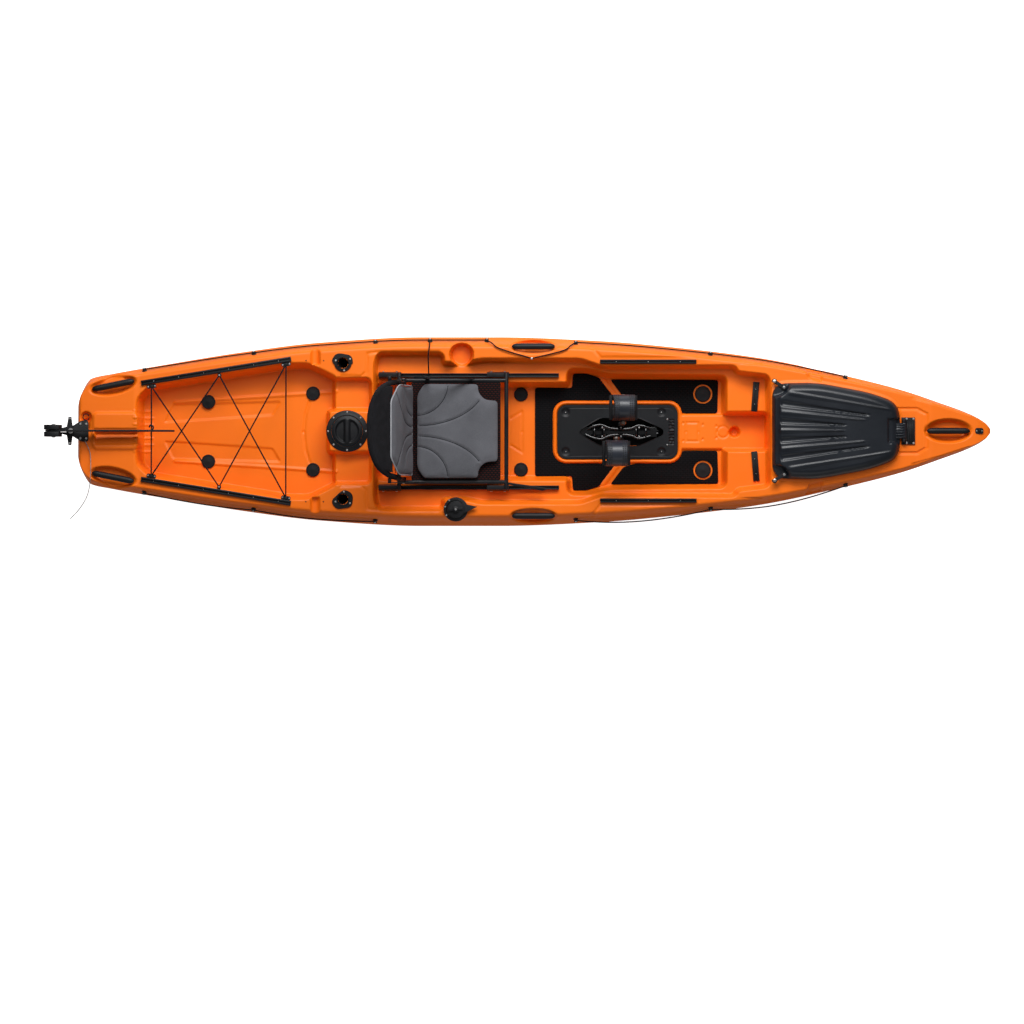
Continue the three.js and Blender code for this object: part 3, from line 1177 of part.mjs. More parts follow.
function rudderBlade() {
  const rootSteps = 12;
  const root = Array.from({ length: rootSteps + 1 }, (_, i) => {
    const t = Math.PI / 2 + (Math.PI * i) / rootSteps;
    return [bladePivot + bladeRoot * Math.cos(t), bladePivotHeight + bladeRoot * Math.sin(t)];
  });
  const topAt = (x) => bladePivotHeight + bladeRoot - bladeDrop * (x - bladePivot);
  const neckEnd = rudderPinStation + 3 * rudderTube;
  const outline = [...root, [cheekFore, headLow + headTube + 2 * runGap], [neckEnd, headLow + headTube +
    2 * runGap], [neckEnd + bladeWidth, bladeLow + rudderPin], [neckEnd + 2 * bladeWidth, bladeLow],
  [bladeTip - neckHalf, bladeLow], [bladeTip, bladeLow + neckHalf], [bladeTip - bladeWidth * 0.6,
    topAt(bladeTip - bladeWidth) - neckHalf / 3], [bladeTip - bladeWidth, topAt(bladeTip - bladeWidth)]];
  return prismAcross(outline.reverse(), -bladeHalf, bladeHalf)
    .subtract(across(bladePivot, bladePivotHeight, -cheekHalf, cheekHalf, bladePin + seatGap, 12));
}

// Rigging that the object holds all the way: lines with their buttons, and the tank well's elastic cords.
const lineRadius = 2.5;
const buttonRadius = 11;
const buttonRise = 13;
const lineRise = 8;
const lineSag = 30;
const lineBulge = 22;
const [buttonShare, buttonClimbShare] = gunwaleShares[0];
const portButtonShares = [-0.854, -0.614, -0.347, -0.227, -0.102, 0.093, 0.389, 0.684];
const beadPlace = [-0.0035 * halfLength, 0.7648 * halfBeam];
const tieStation = -0.2301 * halfLength;
const aftButtonShares = [-0.854, -0.614, -0.347];
const foreButtonShares = [0.093, 0.389, 0.684];
const bungeeShares = [[-0.8365, 0.4715], [-0.688, 0.588], [-0.542, 0.703]];
const bungeeRise = 7;
const padEyeRadius = 8;
const padEyeRise = 10;

// A place on the gunwale's ridge, moved out along the face by a distance.
function gunwale(x, side, away) {
  const ridge = (at) => new THREE.Vector3(at, side * beamAt(at) * buttonShare,
    seamAt(at) + seatGap + (deckAt(at) - seamAt(at)) * buttonClimbShare);
  const along = ridge(x + wall).sub(ridge(x - wall));
  const up = new THREE.Vector3(0, -side * beamAt(x) * (1 - buttonShare),
    (deckAt(x) - seamAt(x)) * buttonClimbShare);
  const out = along.cross(up).multiplyScalar(-side).normalize();
  return ridge(x).addScaledVector(out, away).toArray();
}
function button(x, side) {
  const geometry = new THREE.CylinderGeometry(buttonRadius * 0.7, buttonRadius, buttonRise, 8);
  const foot = new THREE.Vector3(...gunwale(x, side, seatGap));
  const head = new THREE.Vector3(...gunwale(x, side, seatGap + buttonRise));
  const turn = new THREE.Quaternion().setFromUnitVectors(
    new THREE.Vector3(0, 1, 0), head.clone().sub(foot).normalize(),
  );
  return solid(geometry.applyQuaternion(turn).translate(...foot.add(head).multiplyScalar(0.5)));
}
function lineBetween(from, to, side, sag, bulge) {
  return [0, 0.5, 1].map((t) => {
    const [x, y, z] = gunwale(from + t * (to - from), side, lineRise);
    const slack = 4 * t * (1 - t);
    return [x, y + side * bulge * slack, z - sag * slack];
  });
}
const cordAlong = (points) => bar(points, lineRadius, 2 * (points.length - 1), 5);
function deckLine(shares, side, sag, bulge) {
  const places = shares.map((s) => s * halfLength);
  const buttons = places.map((x) => button(x, side));
  const route = places.slice(1).flatMap((x, i) => lineBetween(places[i], x, side, sag, bulge).slice(i ? 1 : 0));
  return join(...buttons, cordAlong(route)).subtract(deckRoom());
}
function portLine() {
  const places = portButtonShares.map((s) => s * halfLength);
  const buttons = places.map((x) => button(x, 1));
  const split = 5;
  const runs = [places.slice(0, split), places.slice(split)].map((part) => cordAlong(
    part.slice(1).flatMap((x, i) => lineBetween(part[i], x, 1, 0, 0).slice(i ? 1 : 0))));
  const [beadX, beadY] = beadPlace;
  const high = deckTop(0) + lineRadius + runGap;
  const overEdge = (x) => {
    const edge = beamAt(x) * gunwaleShares[2][0];
    const shoulder = beamAt(x) * gunwaleShares[1][0];
    return [[x, shoulder + lineRise, high - lineRise], [x, edge, high + lineRadius]];
  };
  const vee = [places[split - 1], places[split]].flatMap((x) => {
    const start = gunwale(x, 1, lineRise);
    const near = x + (beadX - x) * 0.2;
    const [shoulder, edge] = overEdge(near);
    const route = [start, [x + (beadX - x) * 0.12, shoulder[1], shoulder[2]], [near + (beadX - x) * 0.12, edge[1],
      edge[2]], [beadX, beadY, high + lineRadius]];
    return cordAlong(route);
  });
  const bead = upright(beadX, beadY, deckTop(0) + seatGap, deckTop(0) + padEyeRise, padEyeRadius,
    padEyeRadius * 0.7, 10);
  const tie = places[3];
  const [shoulder, edge] = overEdge(tie);
  const railTop = shelfFloor + 2 * seatGap + railHeight + lineRadius;
  const tieRoute = [gunwale(tie, 1, lineRise), shoulder, edge, [tieStation, cupOffset, high + lineRadius],
    [tieStation, railOffset + 2 * railHalf, railTop + lineRise], [tieStation, railOffset, railTop]];
  return join(...buttons, ...runs, ...vee, bead, cordAlong(tieRoute)).subtract(deckRoom());
}
function bungee() {
  const z = deckTop(0) + bungeeRise;
  const rows = placed(bungeeShares);
  const eyes = rows.flatMap(([x, y]) => bothSides.map((s) =>
    upright(x, s * y, deckTop(0) + seatGap, deckTop(0) + padEyeRise, padEyeRadius, padEyeRadius * 0.8, 8)));
  const [aft, middle, fore] = rows;
  const runs = [[aft, aft], [fore, fore], [aft, middle], [middle, fore]]
    .flatMap(([a, b], i) => (i < 2 ? [1] : bothSides).map((s) =>
      bar([[a[0], s * a[1], z], [b[0], -s * b[1], z]], lineRadius, 1, 5)));
  return join(...eyes, ...runs);
}

// The thin line left hanging over the starboard quarter; its points are chosen by hand.
const sternLineRadius = 1.6;
const sternLineRoute = [
  [38.6, -43.6, 15.4], [59, -92, 11], [65, -150, 21], [63, -200, 20], [56, -244, -6], [37, -292, -54],
  [-3, -345, -112], [-50, -389, -162],
].map(([x, y, z]) => [x - halfLength, y, z + deckHeight]);

// Every piece, named and given its look.
mats();
plugs();
tracks();
add("hull_shell", hullShell(), "orange");
add("deck_shell", deckShell(), "orange");
add("keel_skid", keelSkid(), "black");
Object.entries(grips).forEach(([name, place]) => add(name, grip(place), "black"));
bothSides.forEach((s) => add(s > 0 ? "rod_holder_port" : "rod_holder_starboard", rodHolder(s), "black"));
add("hatch_ring", hatchRing(), "black");
add("hatch_seal", hatchSeal(), "rubber");
add("hatch_lid", hatchLid(), "black");
add("front_hatch_lid", frontLid(), "black");
add("front_hatch_hinge", lidHinge(), "black");
bothSides.forEach((s) => add(s > 0 ? "latch_port" : "latch_starboard", latch(s), "rubber"));
add("drive_plate", drivePlate(), "black");
add("drive_spine", driveSpine(), "black");
bothSides.forEach((s) => {
  const name = s > 0 ? "port" : "starboard";
  add("crank_" + name, crank(s), "steel");
  add("pedal_" + name, pedal(s), "black");
});
add("fin_aft", fin(finStart), "rubber");
add("fin_fore", fin(finStart + finPitch), "rubber");
bothSides.forEach((s) => add(s > 0 ? "seat_rail_port" : "seat_rail_starboard", seatRail(s), "black"));
add("seat_frame", seatFrame(), "black");
add("seat_back_frame", backFrame(), "black");
add("seat_pad", seatPad(), "fabric");
add("seat_back_pad", backPad(), "fabric");
bothSides.forEach((s) => add(s > 0 ? "side_strap_port" : "side_strap_starboard", sideStrap(s), "webbing"));
add("steering_base", steeringBase(), "black");
add("steering_lever", steeringLever(), "black");
add("rudder_bracket", rudderBracket(), "black");
add("rudder_head", rudderHead(), "black");
add("rudder_blade", rudderBlade(), "black");
add("deck_line_port", portLine(), "cord");
add("deck_line_aft_starboard", deckLine(aftButtonShares, -1, lineSag / 3, lineBulge / 3), "cord");
add("deck_line_fore_starboard", deckLine(foreButtonShares, -1, lineSag, lineBulge), "cord");
add("tank_well_bungee", bungee(), "cord");
add("stern_line", bar(sternLineRoute, sternLineRadius, 50, 8), "line");

// Looks: colour, roughness and metalness of each material.
const looks = {
  orange: [0xf27626, 0.42, 0],
  black: [0x1c1d20, 0.5, 0],
  rubber: [0x17181a, 0.8, 0],
  mat: [0x212326, 0.95, 0],
  steel: [0x77706a, 0.45, 1],
  fabric: [0x57585c, 0.95, 0],
  webbing: [0x6b3a36, 0.9, 0],
  cord: [0x1d1d1f, 0.85, 0],
  line: [0xa9a9a5, 0.8, 0],
};
const materials = Object.fromEntries(Object.entries(looks).map(([name, [color, roughness, metalness]]) =>
  [name, new THREE.MeshStandardMaterial({ name, color, roughness, metalness })]));
const group = new THREE.Group();
for (const [name, [body, look]] of Object.entries(shown)) {
  const mesh = new THREE.Mesh(geometryOf(body), materials[look]);
  mesh.name = name;
  group.add(mesh);
}

export default group;
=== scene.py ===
import math

import bmesh
import bpy
import numpy as np
from mathutils import Euler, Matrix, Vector


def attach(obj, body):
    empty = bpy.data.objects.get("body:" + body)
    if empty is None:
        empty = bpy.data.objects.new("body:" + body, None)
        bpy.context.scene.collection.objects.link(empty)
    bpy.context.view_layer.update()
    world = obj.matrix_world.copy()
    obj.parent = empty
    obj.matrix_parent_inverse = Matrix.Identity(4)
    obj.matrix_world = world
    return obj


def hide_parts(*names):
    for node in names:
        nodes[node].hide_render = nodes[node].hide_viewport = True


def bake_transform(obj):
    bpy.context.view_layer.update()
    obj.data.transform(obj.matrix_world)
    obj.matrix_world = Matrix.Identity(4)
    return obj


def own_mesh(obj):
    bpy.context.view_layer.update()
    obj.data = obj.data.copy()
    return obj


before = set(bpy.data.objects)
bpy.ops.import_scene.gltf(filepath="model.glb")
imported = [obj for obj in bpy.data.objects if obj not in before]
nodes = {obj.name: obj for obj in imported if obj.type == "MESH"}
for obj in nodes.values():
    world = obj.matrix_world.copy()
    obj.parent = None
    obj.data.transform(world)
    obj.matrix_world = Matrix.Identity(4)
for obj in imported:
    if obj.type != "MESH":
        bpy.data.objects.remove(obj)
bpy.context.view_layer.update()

# The camera looks down on the boat from just to starboard of overhead, through a long lens, with the
# bow to the right, as the upper of the photograph's two views does.
def shown(name, data):
    """An object of the scene from its mesh, lamp or camera."""
    made = bpy.data.objects.new(name, data)
    bpy.context.scene.collection.objects.link(made)
    return made


deck_level = 0.27
camera_distance = 14.0
camera_elevation = math.radians(88.6)
metres_across = 4.542
frame_centre_x = -0.095
camera = bpy.data.cameras.new("camera")
camera.sensor_width = 36
camera.lens = camera.sensor_width * camera_distance / metres_across
camera.shift_y = -0.079
eye = shown("camera", camera)
eye.location = (
    frame_centre_x,
    -camera_distance * math.cos(camera_elevation),
    deck_level + camera_distance * math.sin(camera_elevation),
)
eye.rotation_euler = (math.pi / 2 - camera_elevation, 0, 0)
bpy.context.scene.camera = eye


# The thin twisted line of the rudder hangs free over the starboard quarter, from the stern bracket to
# its bare end. Its fibres are grey and wound; the light and dark that run round it on a slant are painted
# highlight and shade of the strands. The materials' two classes and the first helpers stand here too, as
# this is the first piece that needs them.
class Wire:
    """A value that runs through a material's nodes; each operator adds its Math node."""

    def __init__(self, look, socket):
        self.look = look
        self.socket = socket

    def math(self, operation, *values):
        return self.look.node("ShaderNodeMath", {"operation": operation}, self, *values)

    def __add__(self, other):
        return self.math("ADD", other)

    def __sub__(self, other):
        return self.math("SUBTRACT", other)

    def __rsub__(self, other):
        return self.look.node("ShaderNodeMath", {"operation": "SUBTRACT"}, other, self)

    def __mul__(self, other):
        return self.math("MULTIPLY", other)

    def __pow__(self, other):
        return self.math("POWER", other)

    __radd__ = __add__
    __rmul__ = __mul__


class Look:
    """A material of the boat: its shader, and the one way to add a node to it."""

    def __init__(self, name, **fixed):
        self.material = bpy.data.materials.new(name)
        self.material.use_nodes = True
        self.tree = self.material.node_tree
        self.shader = self.tree.nodes["Principled BSDF"]
        for socket, value in fixed.items():
            self.shader.inputs[socket.replace("_", " ")].default_value = value

    def node(self, kind, settings, *values, out=0, **named):
        made = self.tree.nodes.new(kind)
        for key, value in settings.items():
            if key == "stops":
                while len(made.color_ramp.elements) < len(value):
                    made.color_ramp.elements.new(1)
                for stop, (place, colour) in zip(made.color_ramp.elements, value):
                    stop.position = place
                    stop.color = colour
            else:
                setattr(made, key, value)
        for key, value in [*enumerate(values), *named.items()]:
            socket = made.inputs[key if isinstance(key, int) else key.replace("_", " ")]
            if isinstance(value, Wire):
                self.tree.links.new(value.socket, socket)
            elif value is not None:
                socket.default_value = value
        return Wire(self, made.outputs[out])

    def place(self, source="Object"):
        return self.node("ShaderNodeTexCoord", {}, out=source)

    def noise(self, scale, detail=2.0, source=None):
        return self.node("ShaderNodeTexNoise", {}, source or self.place(), Scale=scale, Detail=detail)

    def mix(self, factor, first, second):
        return self.node(
            "ShaderNodeMix", {"data_type": "RGBA"}, factor, None, None, None, None, None,
            first, second, out=2)

    def falling(self, value, full, none):
        """1 below the first limit, 0 above the second, and eased between them."""
        return self.node("ShaderNodeMapRange", {"interpolation_type": "SMOOTHSTEP"}, value, full, none, 1.0, 0.0)

    def bump(self, height, distance, strength=1.0):
        return self.node("ShaderNodeBump", {}, Height=height, Distance=distance, Strength=strength)

    def feed(self, **sockets):
        for name, value in sockets.items():
            self.tree.links.new(value.socket, self.shader.inputs[name.replace("_", " ")])
        return self.material


def linear(red, green, blue):
    """A colour read as 0 to 255 on a screen, as a shader takes it."""
    parts = [c / 255 for c in (red, green, blue)]
    return [c / 12.92 if c <= 0.04045 else ((c + 0.055) / 1.055) ** 2.4 for c in parts] + [1]


def clouded(name, dark, light, clouds, gloss=None, grain=None, strength=1.0, **fixed):
    """A finish whose tone and gloss drift together between two limits, with a fine moulded grain."""
    look = Look(name, **fixed)
    place = look.place()
    drift = look.noise(*clouds, place)
    sockets = {"Base_Color": look.mix(drift, linear(*dark), linear(*light))}
    if gloss:
        sockets["Roughness"] = gloss[0] + drift * gloss[1]
    if grain:
        sockets["Normal"] = look.bump(look.noise(*grain[:2], place), grain[2], strength)
    look.feed(**sockets)
    return look


def smooth_path(points, steps):
    """A line through the points, with that many steps between each two, rounded as a rope lies."""
    p = [np.array(q, float) for q in points]
    p = [2 * p[0] - p[1], *p, 2 * p[-1] - p[-2]]
    line = []
    for a, b, c, d in zip(p, p[1:], p[2:], p[3:]):
        knots = np.cumsum([0] + [max(np.linalg.norm(v - u), 1e-6) ** 0.5 for u, v in ((a, b), (b, c), (c, d))])
        for t in np.linspace(knots[1], knots[2], steps, endpoint=False):
            def between(u, v, i, j):
                return u + (v - u) * (t - knots[i]) / (knots[j] - knots[i])
            ab, bc, cd = between(a, b, 0, 1), between(b, c, 1, 2), between(c, d, 2, 3)
            line.append(between(between(ab, bc, 0, 2), between(bc, cd, 1, 3), 1, 2))
    return np.array([*line, p[-2]])


def made_of(name, vertices, faces, look=None, smooth=True, uv=None):
    """A mesh object from its corners and faces, with its material and, if given, a UV for each corner."""
    mesh = bpy.data.meshes.new(name)
    mesh.from_pydata([tuple(v) for v in vertices], [], [tuple(int(i) for i in f) for f in faces])
    if uv is not None:
        layer = mesh.uv_layers.new(name="UVMap")
        loops = np.array([loop.vertex_index for loop in mesh.loops])
        layer.data.foreach_set("uv", np.array(uv, float)[loops].ravel())
    mesh.polygons.foreach_set("use_smooth", [smooth] * len(mesh.polygons))
    if look:
        mesh.materials.append(look)
    return shown(name, mesh)


def through(name, rings, look, loop=False, uv=None, sharp=None, weld=False):
    """A closed body through rings of like count; a loop joins the last ring to the first."""
    count = len(rings[0])
    pairs = list(zip(range(len(rings)), range(1, len(rings)))) + ([(len(rings) - 1, 0)] if loop else [])
    faces = [(i * count + k, i * count + (k + 1) % count, j * count + (k + 1) % count, j * count + k)
             for i, j in pairs for k in range(count)]
    if not loop:
        end = (len(rings) - 1) * count
        faces += [tuple(range(count))[::-1], tuple(range(end, end + count))]
    piece = made_of(name, [corner for ring in rings for corner in ring], faces, look, uv=uv)
    work = bmesh.new()
    work.from_mesh(piece.data)
    if weld:
        bmesh.ops.remove_doubles(work, verts=work.verts, dist=1e-6)
        bmesh.ops.dissolve_degenerate(work, edges=work.edges, dist=1e-7)
    bmesh.ops.recalc_face_normals(work, faces=work.faces)
    work.to_mesh(piece.data)
    work.free()
    if sharp:
        piece.data.set_sharp_from_angle(angle=math.radians(sharp))
    return piece


def tube(name, path, radius, look, sides=12, flat=1.0):
    """A round bar or cord along a path, closed at both ends; flat under 1 makes it a band."""
    path = np.array(path, float)
    run = np.gradient(path, axis=0)
    run /= np.linalg.norm(run, axis=1)[:, None]
    side = np.cross(run[0], (0, 0, 1) if abs(run[0][2]) < 0.9 else (1, 0, 0))
    rings, uv, length = [], [], 0
    for i, (p, t) in enumerate(zip(path, run)):
        side = side - t * (side @ t)
        side /= np.linalg.norm(side)
        up = np.cross(t, side)
        length += np.linalg.norm(p - path[i - 1]) if i else 0
        angles = [2 * math.pi * k / sides for k in range(sides)]
        rings.append([p + radius * (side * math.cos(a) + up * math.sin(a) * flat) for a in angles])
        uv += [(k / sides, length) for k in range(sides)]
    return through(name, rings, look, uv=uv)


def both(name):
    """The two sides of the boat, as a sign and a name for each."""
    return (1, name + "_port"), (-1, name + "_starboard")


def settle(piece, body, slot, *stands_for):
    """Fixes a finished piece to what carries it, in place of the plain ones that it stands for."""
    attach(piece, body)
    if stands_for:
        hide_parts(*stands_for)
    return piece


line_look = Look("thin_grey_line", Roughness=0.75)
line_place = line_look.place("UV")
strand = line_look.node(
    "ShaderNodeTexWave", {"wave_type": "BANDS", "bands_direction": "DIAGONAL"},
    line_look.node("ShaderNodeMapping", {}, line_place, Scale=(3.0, 700.0, 1.0)), Scale=1.0)
# The grey is painted lighter on the raised strands and darker between them: painted highlight and shade of the twist.
line_look.feed(
    Base_Color=line_look.mix(strand, linear(96, 97, 96), linear(172, 172, 168)),
    Normal=line_look.bump(strand, 0.0003))
line_points = [
    (-1.9864, -0.0436, 0.2854), (-1.966, -0.092, 0.281), (-1.96, -0.15, 0.291), (-1.962, -0.2, 0.29),
    (-1.969, -0.244, 0.264), (-1.988, -0.292, 0.216), (-2.028, -0.345, 0.158), (-2.075, -0.389, 0.108),
]
line_radius = 0.0016
line_path = smooth_path(line_points, 12)
stern_line = tube("stern_line_twisted", line_path, line_radius, line_look.material, 8)
settle(stern_line, "kayak", "line", "stern_line")

# The hull is the lower half of a rotomoulded polyethylene shell: a deep V at the bow, flat bilges
# amidships and a short skeg aft, with eight scupper tubes and the open well of the drive through it.
half_length = 2.025
half_beam = 0.421
deck_height = 0.27
wall = 0.005
seam_lip = 0.005
beam_shares = [
    (-1, 0.28), (-0.9916, 0.418), (-0.971, 0.56), (-0.928, 0.606), (-0.818, 0.7),
    (-0.643, 0.838), (-0.468, 0.943), (-0.248, 1), (-0.074, 1), (0.146, 0.96),
    (0.321, 0.886), (0.496, 0.779), (0.672, 0.601), (0.803, 0.442), (0.89, 0.299),
    (0.956, 0.178), (0.989, 0.085), (1, 0.02)]
seam_shares = [
    (-1, 0.82), (-0.66, 0.752), (-0.25, 0.7), (0, 0.7), (0.45, 0.767),
    (0.66, 0.867), (0.79, 0.907), (0.895, 0.98), (1, 1.05)]
chine_shares = [
    (-1, 0.56), (-0.9, 0.5), (-0.68, 0.407), (-0.49, 0.322), (-0.3, 0.248), (-0.1, 0.222),
    (0.07, 0.222), (0.2, 0.267), (0.37, 0.319), (0.495, 0.385), (0.64, 0.49),
    (0.79, 0.674), (0.915, 0.807), (1, 1)]
keel_shares = [
    (-1, 0.5), (-0.957, 0.452), (-0.938, 0.12), (-0.9, 0.096), (-0.706, 0.096), (-0.514, 0),
    (0.79, 0), (0.835, 0.03), (0.873, 0.167), (0.937, 0.496), (0.968, 0.704),
    (0.989, 0.88), (1, 0.98)]
bilge_shares = [(-1, 0.4), (-0.6, 0.3), (-0.3, 0.08), (0.4, 0.08), (0.8, 0.35), (1, 0.5)]
scupper_places = [
    (x * half_length, side * y * half_beam)
    for x, y in ((-0.717, 0.316), (-0.486, 0.406), (-0.027, 0.401), (0.376, 0.406)) for side in (1, -1)]
scupper_bore = 0.023
well_middle = (0.383, 0)
well_size = (0.413, 0.136)
well_corner = 0.03


def fair(table, at):
    """A smooth line through a table of shares that keeps its flats flat."""
    x, v = np.array(table).T
    slope = np.diff(v) / np.diff(x)
    before, after = np.r_[slope[0], slope], np.r_[slope, slope[-1]]
    product = before * after
    total = np.where(before + after == 0, 1, before + after)
    tangent = np.where(product <= 0, 0, 2 * product / total)
    i = np.clip(np.searchsorted(x, at), 1, len(x) - 1)
    run = x[i] - x[i - 1]
    t = (at - x[i - 1]) / run
    return (v[i - 1] * (2 * t**3 - 3 * t**2 + 1) + v[i] * (3 * t**2 - 2 * t**3)
            + run * (tangent[i - 1] * (t**3 - 2 * t**2 + t) + tangent[i] * (t**3 - t**2)))


def beam_at(x):
    return fair(beam_shares, x / half_length) * half_beam


def seam_at(x):
    return fair(seam_shares, x / half_length) * deck_height


def keel_at(x):
    return fair(keel_shares, x / half_length) * deck_height


def finished(piece):
    """Gives a piece the mesh that its modifiers make, and takes them off."""
    bpy.context.view_layer.update()
    mesh = bpy.data.meshes.new_from_object(piece.evaluated_get(bpy.context.evaluated_depsgraph_get()))
    piece.modifiers.clear()
    piece.data = mesh


def cut_away(piece, cutter):
    """Takes the cutter's shape out of a piece, and removes the cutter."""
    cutting = piece.modifiers.new("cut", "BOOLEAN")
    cutting.operation = "DIFFERENCE"
    cutting.object = cutter
    finished(piece)
    bpy.data.objects.remove(cutter)


def rounded_outline(length, width, corner, steps=8):
    """An oblong with round corners about the origin, as corners in order."""
    corners = []
    for sx, sy, start in ((1, 1, 0), (-1, 1, 90), (-1, -1, 180), (1, -1, 270)):
        for k in range(steps + 1):
            a = math.radians(start + 90 * k / steps)
            corners.append((
                sx * (length / 2 - corner) + corner * math.cos(a),
                sy * (width / 2 - corner) + corner * math.sin(a)))
    return corners


def slab(name, outline, low, high, look=None, smooth=False):
    """A closed plate over an outline, between two heights."""
    n = len(outline)
    corners = [(x, y, low) for x, y in outline] + [(x, y, high) for x, y in outline]
    faces = [(k, (k + 1) % n, n + (k + 1) % n, n + k) for k in range(n)]
    faces += [tuple(range(n))[::-1], tuple(range(n, 2 * n))]
    return made_of(name, corners, faces, look, smooth)


orange = Look("orange_polyethylene", Roughness=0.42, Specular_IOR_Level=0.3)
skin_place = orange.place()
clouds = orange.noise(2.2, 3.0, skin_place)
speckle = orange.noise(900.0, 1.0, skin_place)
tone = orange.mix(clouds, linear(242, 106, 9), linear(253, 122, 14))
peel = orange.noise(260.0, 2.0, skin_place)
orange.feed(
    Base_Color=orange.mix(speckle * 0.12, tone, linear(255, 132, 36)),
    Roughness=0.34 + orange.noise(14.0, 4.0, skin_place) * 0.16,
    Normal=orange.bump(peel * 0.6 + speckle * 0.4, 0.0004, 0.5))

hull_stations = half_length * np.unique(np.r_[np.linspace(-1, 1, 170), np.linspace(-1, -0.9, 24),
                                              np.linspace(0.82, 1, 30)])
section_steps = 44


def hull_section(x, inset):
    """Half a section of the hull at one station, from the seam round the bilge to the keel."""
    b, seam, keel = (float(line(x)) for line in (beam_at, seam_at, keel_at))
    low = max(float(fair(chine_shares, x / half_length)) * deck_height - keel, 2 * wall)
    bilge = float(fair(bilge_shares, x / half_length)) * low
    chine = keel + low
    b_low = max(b - inset, wall)
    knots = np.array([
        (max(b - seam_lip - inset, wall / 2), seam), (max(b - inset, wall / 2), chine + 0.6 * (seam - chine)),
        (max(0.985 * b - inset, wall / 2), chine), (0.82 * b_low, keel + bilge + inset),
        (0.4 * b_low, keel + 0.4 * bilge + inset), (0, keel + inset)])
    return knots


def softened(knots, steps):
    """Even points along a bent line whose corners are eased, with its ends kept."""
    line = np.array(knots)
    for _ in range(3):
        near = 0.75 * line[:-1] + 0.25 * line[1:]
        far = 0.25 * line[:-1] + 0.75 * line[1:]
        line = np.vstack([line[:1], np.stack([near, far], 1).reshape(-1, 2)[1:-1], line[-1:]])
    along = np.r_[0, np.cumsum(np.linalg.norm(np.diff(line, axis=0), axis=1))]
    return np.stack([np.interp(np.linspace(0, along[-1], steps), along, line[:, k]) for k in (0, 1)], 1)


def hull_skin(inset):
    stations = np.clip(hull_stations, inset - half_length, half_length - inset)
    rings = []
    for x in stations:
        half = softened(hull_section(x, inset), section_steps)
        port = [(x, y, z) for y, z in half]
        rings.append(port + [(x, -y, z) for x, y, z in port[-2::-1]])
    return np.array(rings)


outer, inner = hull_skin(0), hull_skin(wall)
rows, across_count = outer.shape[:2]
count = rows * across_count
last = across_count - 1
corners = np.vstack([outer.reshape(-1, 3), inner.reshape(-1, 3)])
faces = []
for i in range(rows - 1):
    a, b = i * across_count, (i + 1) * across_count
    for k in range(last):
        faces += [(a + k, b + k, b + k + 1, a + k + 1),
                  (a + k + 1 + count, b + k + 1 + count, b + k + count, a + k + count)]
    faces += [(a, a + count, b + count, b), (b + last, b + last + count, a + last + count, a + last)]
stern = range(across_count)
bow = range((rows - 1) * across_count, rows * across_count)
faces += [tuple(stern), tuple(bow)[::-1], tuple(k + count for k in stern)[::-1], tuple(k + count for k in bow),
          (stern[0], stern[-1], stern[-1] + count, stern[0] + count),
          (bow[0] + count, bow[-1] + count, bow[-1], bow[0])]
hull = made_of("hull", corners, faces, orange.material)
for x, y in scupper_places:
    cut_away(hull, slab(
        "bore", [(x + scupper_bore * math.cos(a), y + scupper_bore * math.sin(a))
                 for a in np.linspace(0, 2 * math.pi, 32, endpoint=False)], -0.02, 0.09))
cut_away(hull, slab(
    "slot", [(x + well_middle[0], y) for x, y in rounded_outline(*well_size, well_corner)], -0.02, 0.06))
hull.data.polygons.foreach_set("use_smooth", [True] * len(hull.data.polygons))
hull.data.set_sharp_from_angle(angle=math.radians(38))
settle(hull, "kayak", "orange", "hull_shell")

# The deck is the upper half of the same moulding: gunwales, tank well, seat shelf, foot wells, hatch
# lands and hand-grip pockets, each pressed into or raised out of one skin with drafted, rounded walls.
deck_shares = [
    (-1, 1.022), (-0.877, 1.022), (-0.862, 1), (0.44, 1), (0.5, 1.045), (0.836, 1.06),
    (0.872, 1.14), (0.965, 1.14), (1, 1.1)]
gunwale_shares = [(0, 1), (0.868, 1), (0.885, 0.985), (0.915, 0.82), (0.95, 0.42), (1, 0)]
well_shares = [(-0.862, 0.34), (-0.84, 0.447), (-0.536, 0.682), (-0.494, 0.682), (-0.435, 0.542)]
ledge_shares = [(-0.437, 0.542), (-0.3585, 0.542)]
block_shares = [(-0.453, 0.235), (-0.355, 0.235)]
cockpit_shares = [
    (-0.345, 0.7), (-0.34, 0.808), (-0.2, 0.808), (-0.2, 0.705), (-0.148, 0.705), (-0.116, 0.741),
    (0.102, 0.741), (0.15, 0.663), (0.44, 0.672), (0.447, 0.608), (0.514, 0.57)]
foot_shares = [(-0.34, 0.487), (0.079, 0.487), (0.081, 0.641), (0.119, 0.641), (0.169, 0.58), (0.42, 0.57)]
ridge_shares = [(0.328, 0.185), (0.514, 0.185)]
channel_shares = [(0.42, 0.185), (0.514, 0.185)]
lid_shares = [(0.522, 0.5), (0.62, 0.51), (0.74, 0.4), (0.801, 0.285)]
well_floor, ledge_floor, block_top, shelf_floor = 0.16, 0.215, 0.255, 0.2
cockpit_floor, ridge_top, lid_seat, coaming_top = 0.105, 0.118, 0.289, 0.301
corner_radius = 0.022
plate_middle, plate_length, plate_width = 0.378, 0.543, 0.245
plate_corner, rim_width, rim_rise = 0.042, 0.016, 0.015
rod_places = [(-0.845, side * 0.302) for side in (1, -1)]
hatch_place = (-0.827, 0)
cup_place = (-0.319, 0.342)
grip_places = [
    (-1.864, 0.204, 0.2, 0.086), (-1.864, -0.204, -0.2, 0.086),
    (0, 0.376, 0, 0.062), (0, -0.376, 0, 0.062), (1.836, 0, 0, 0.106)]


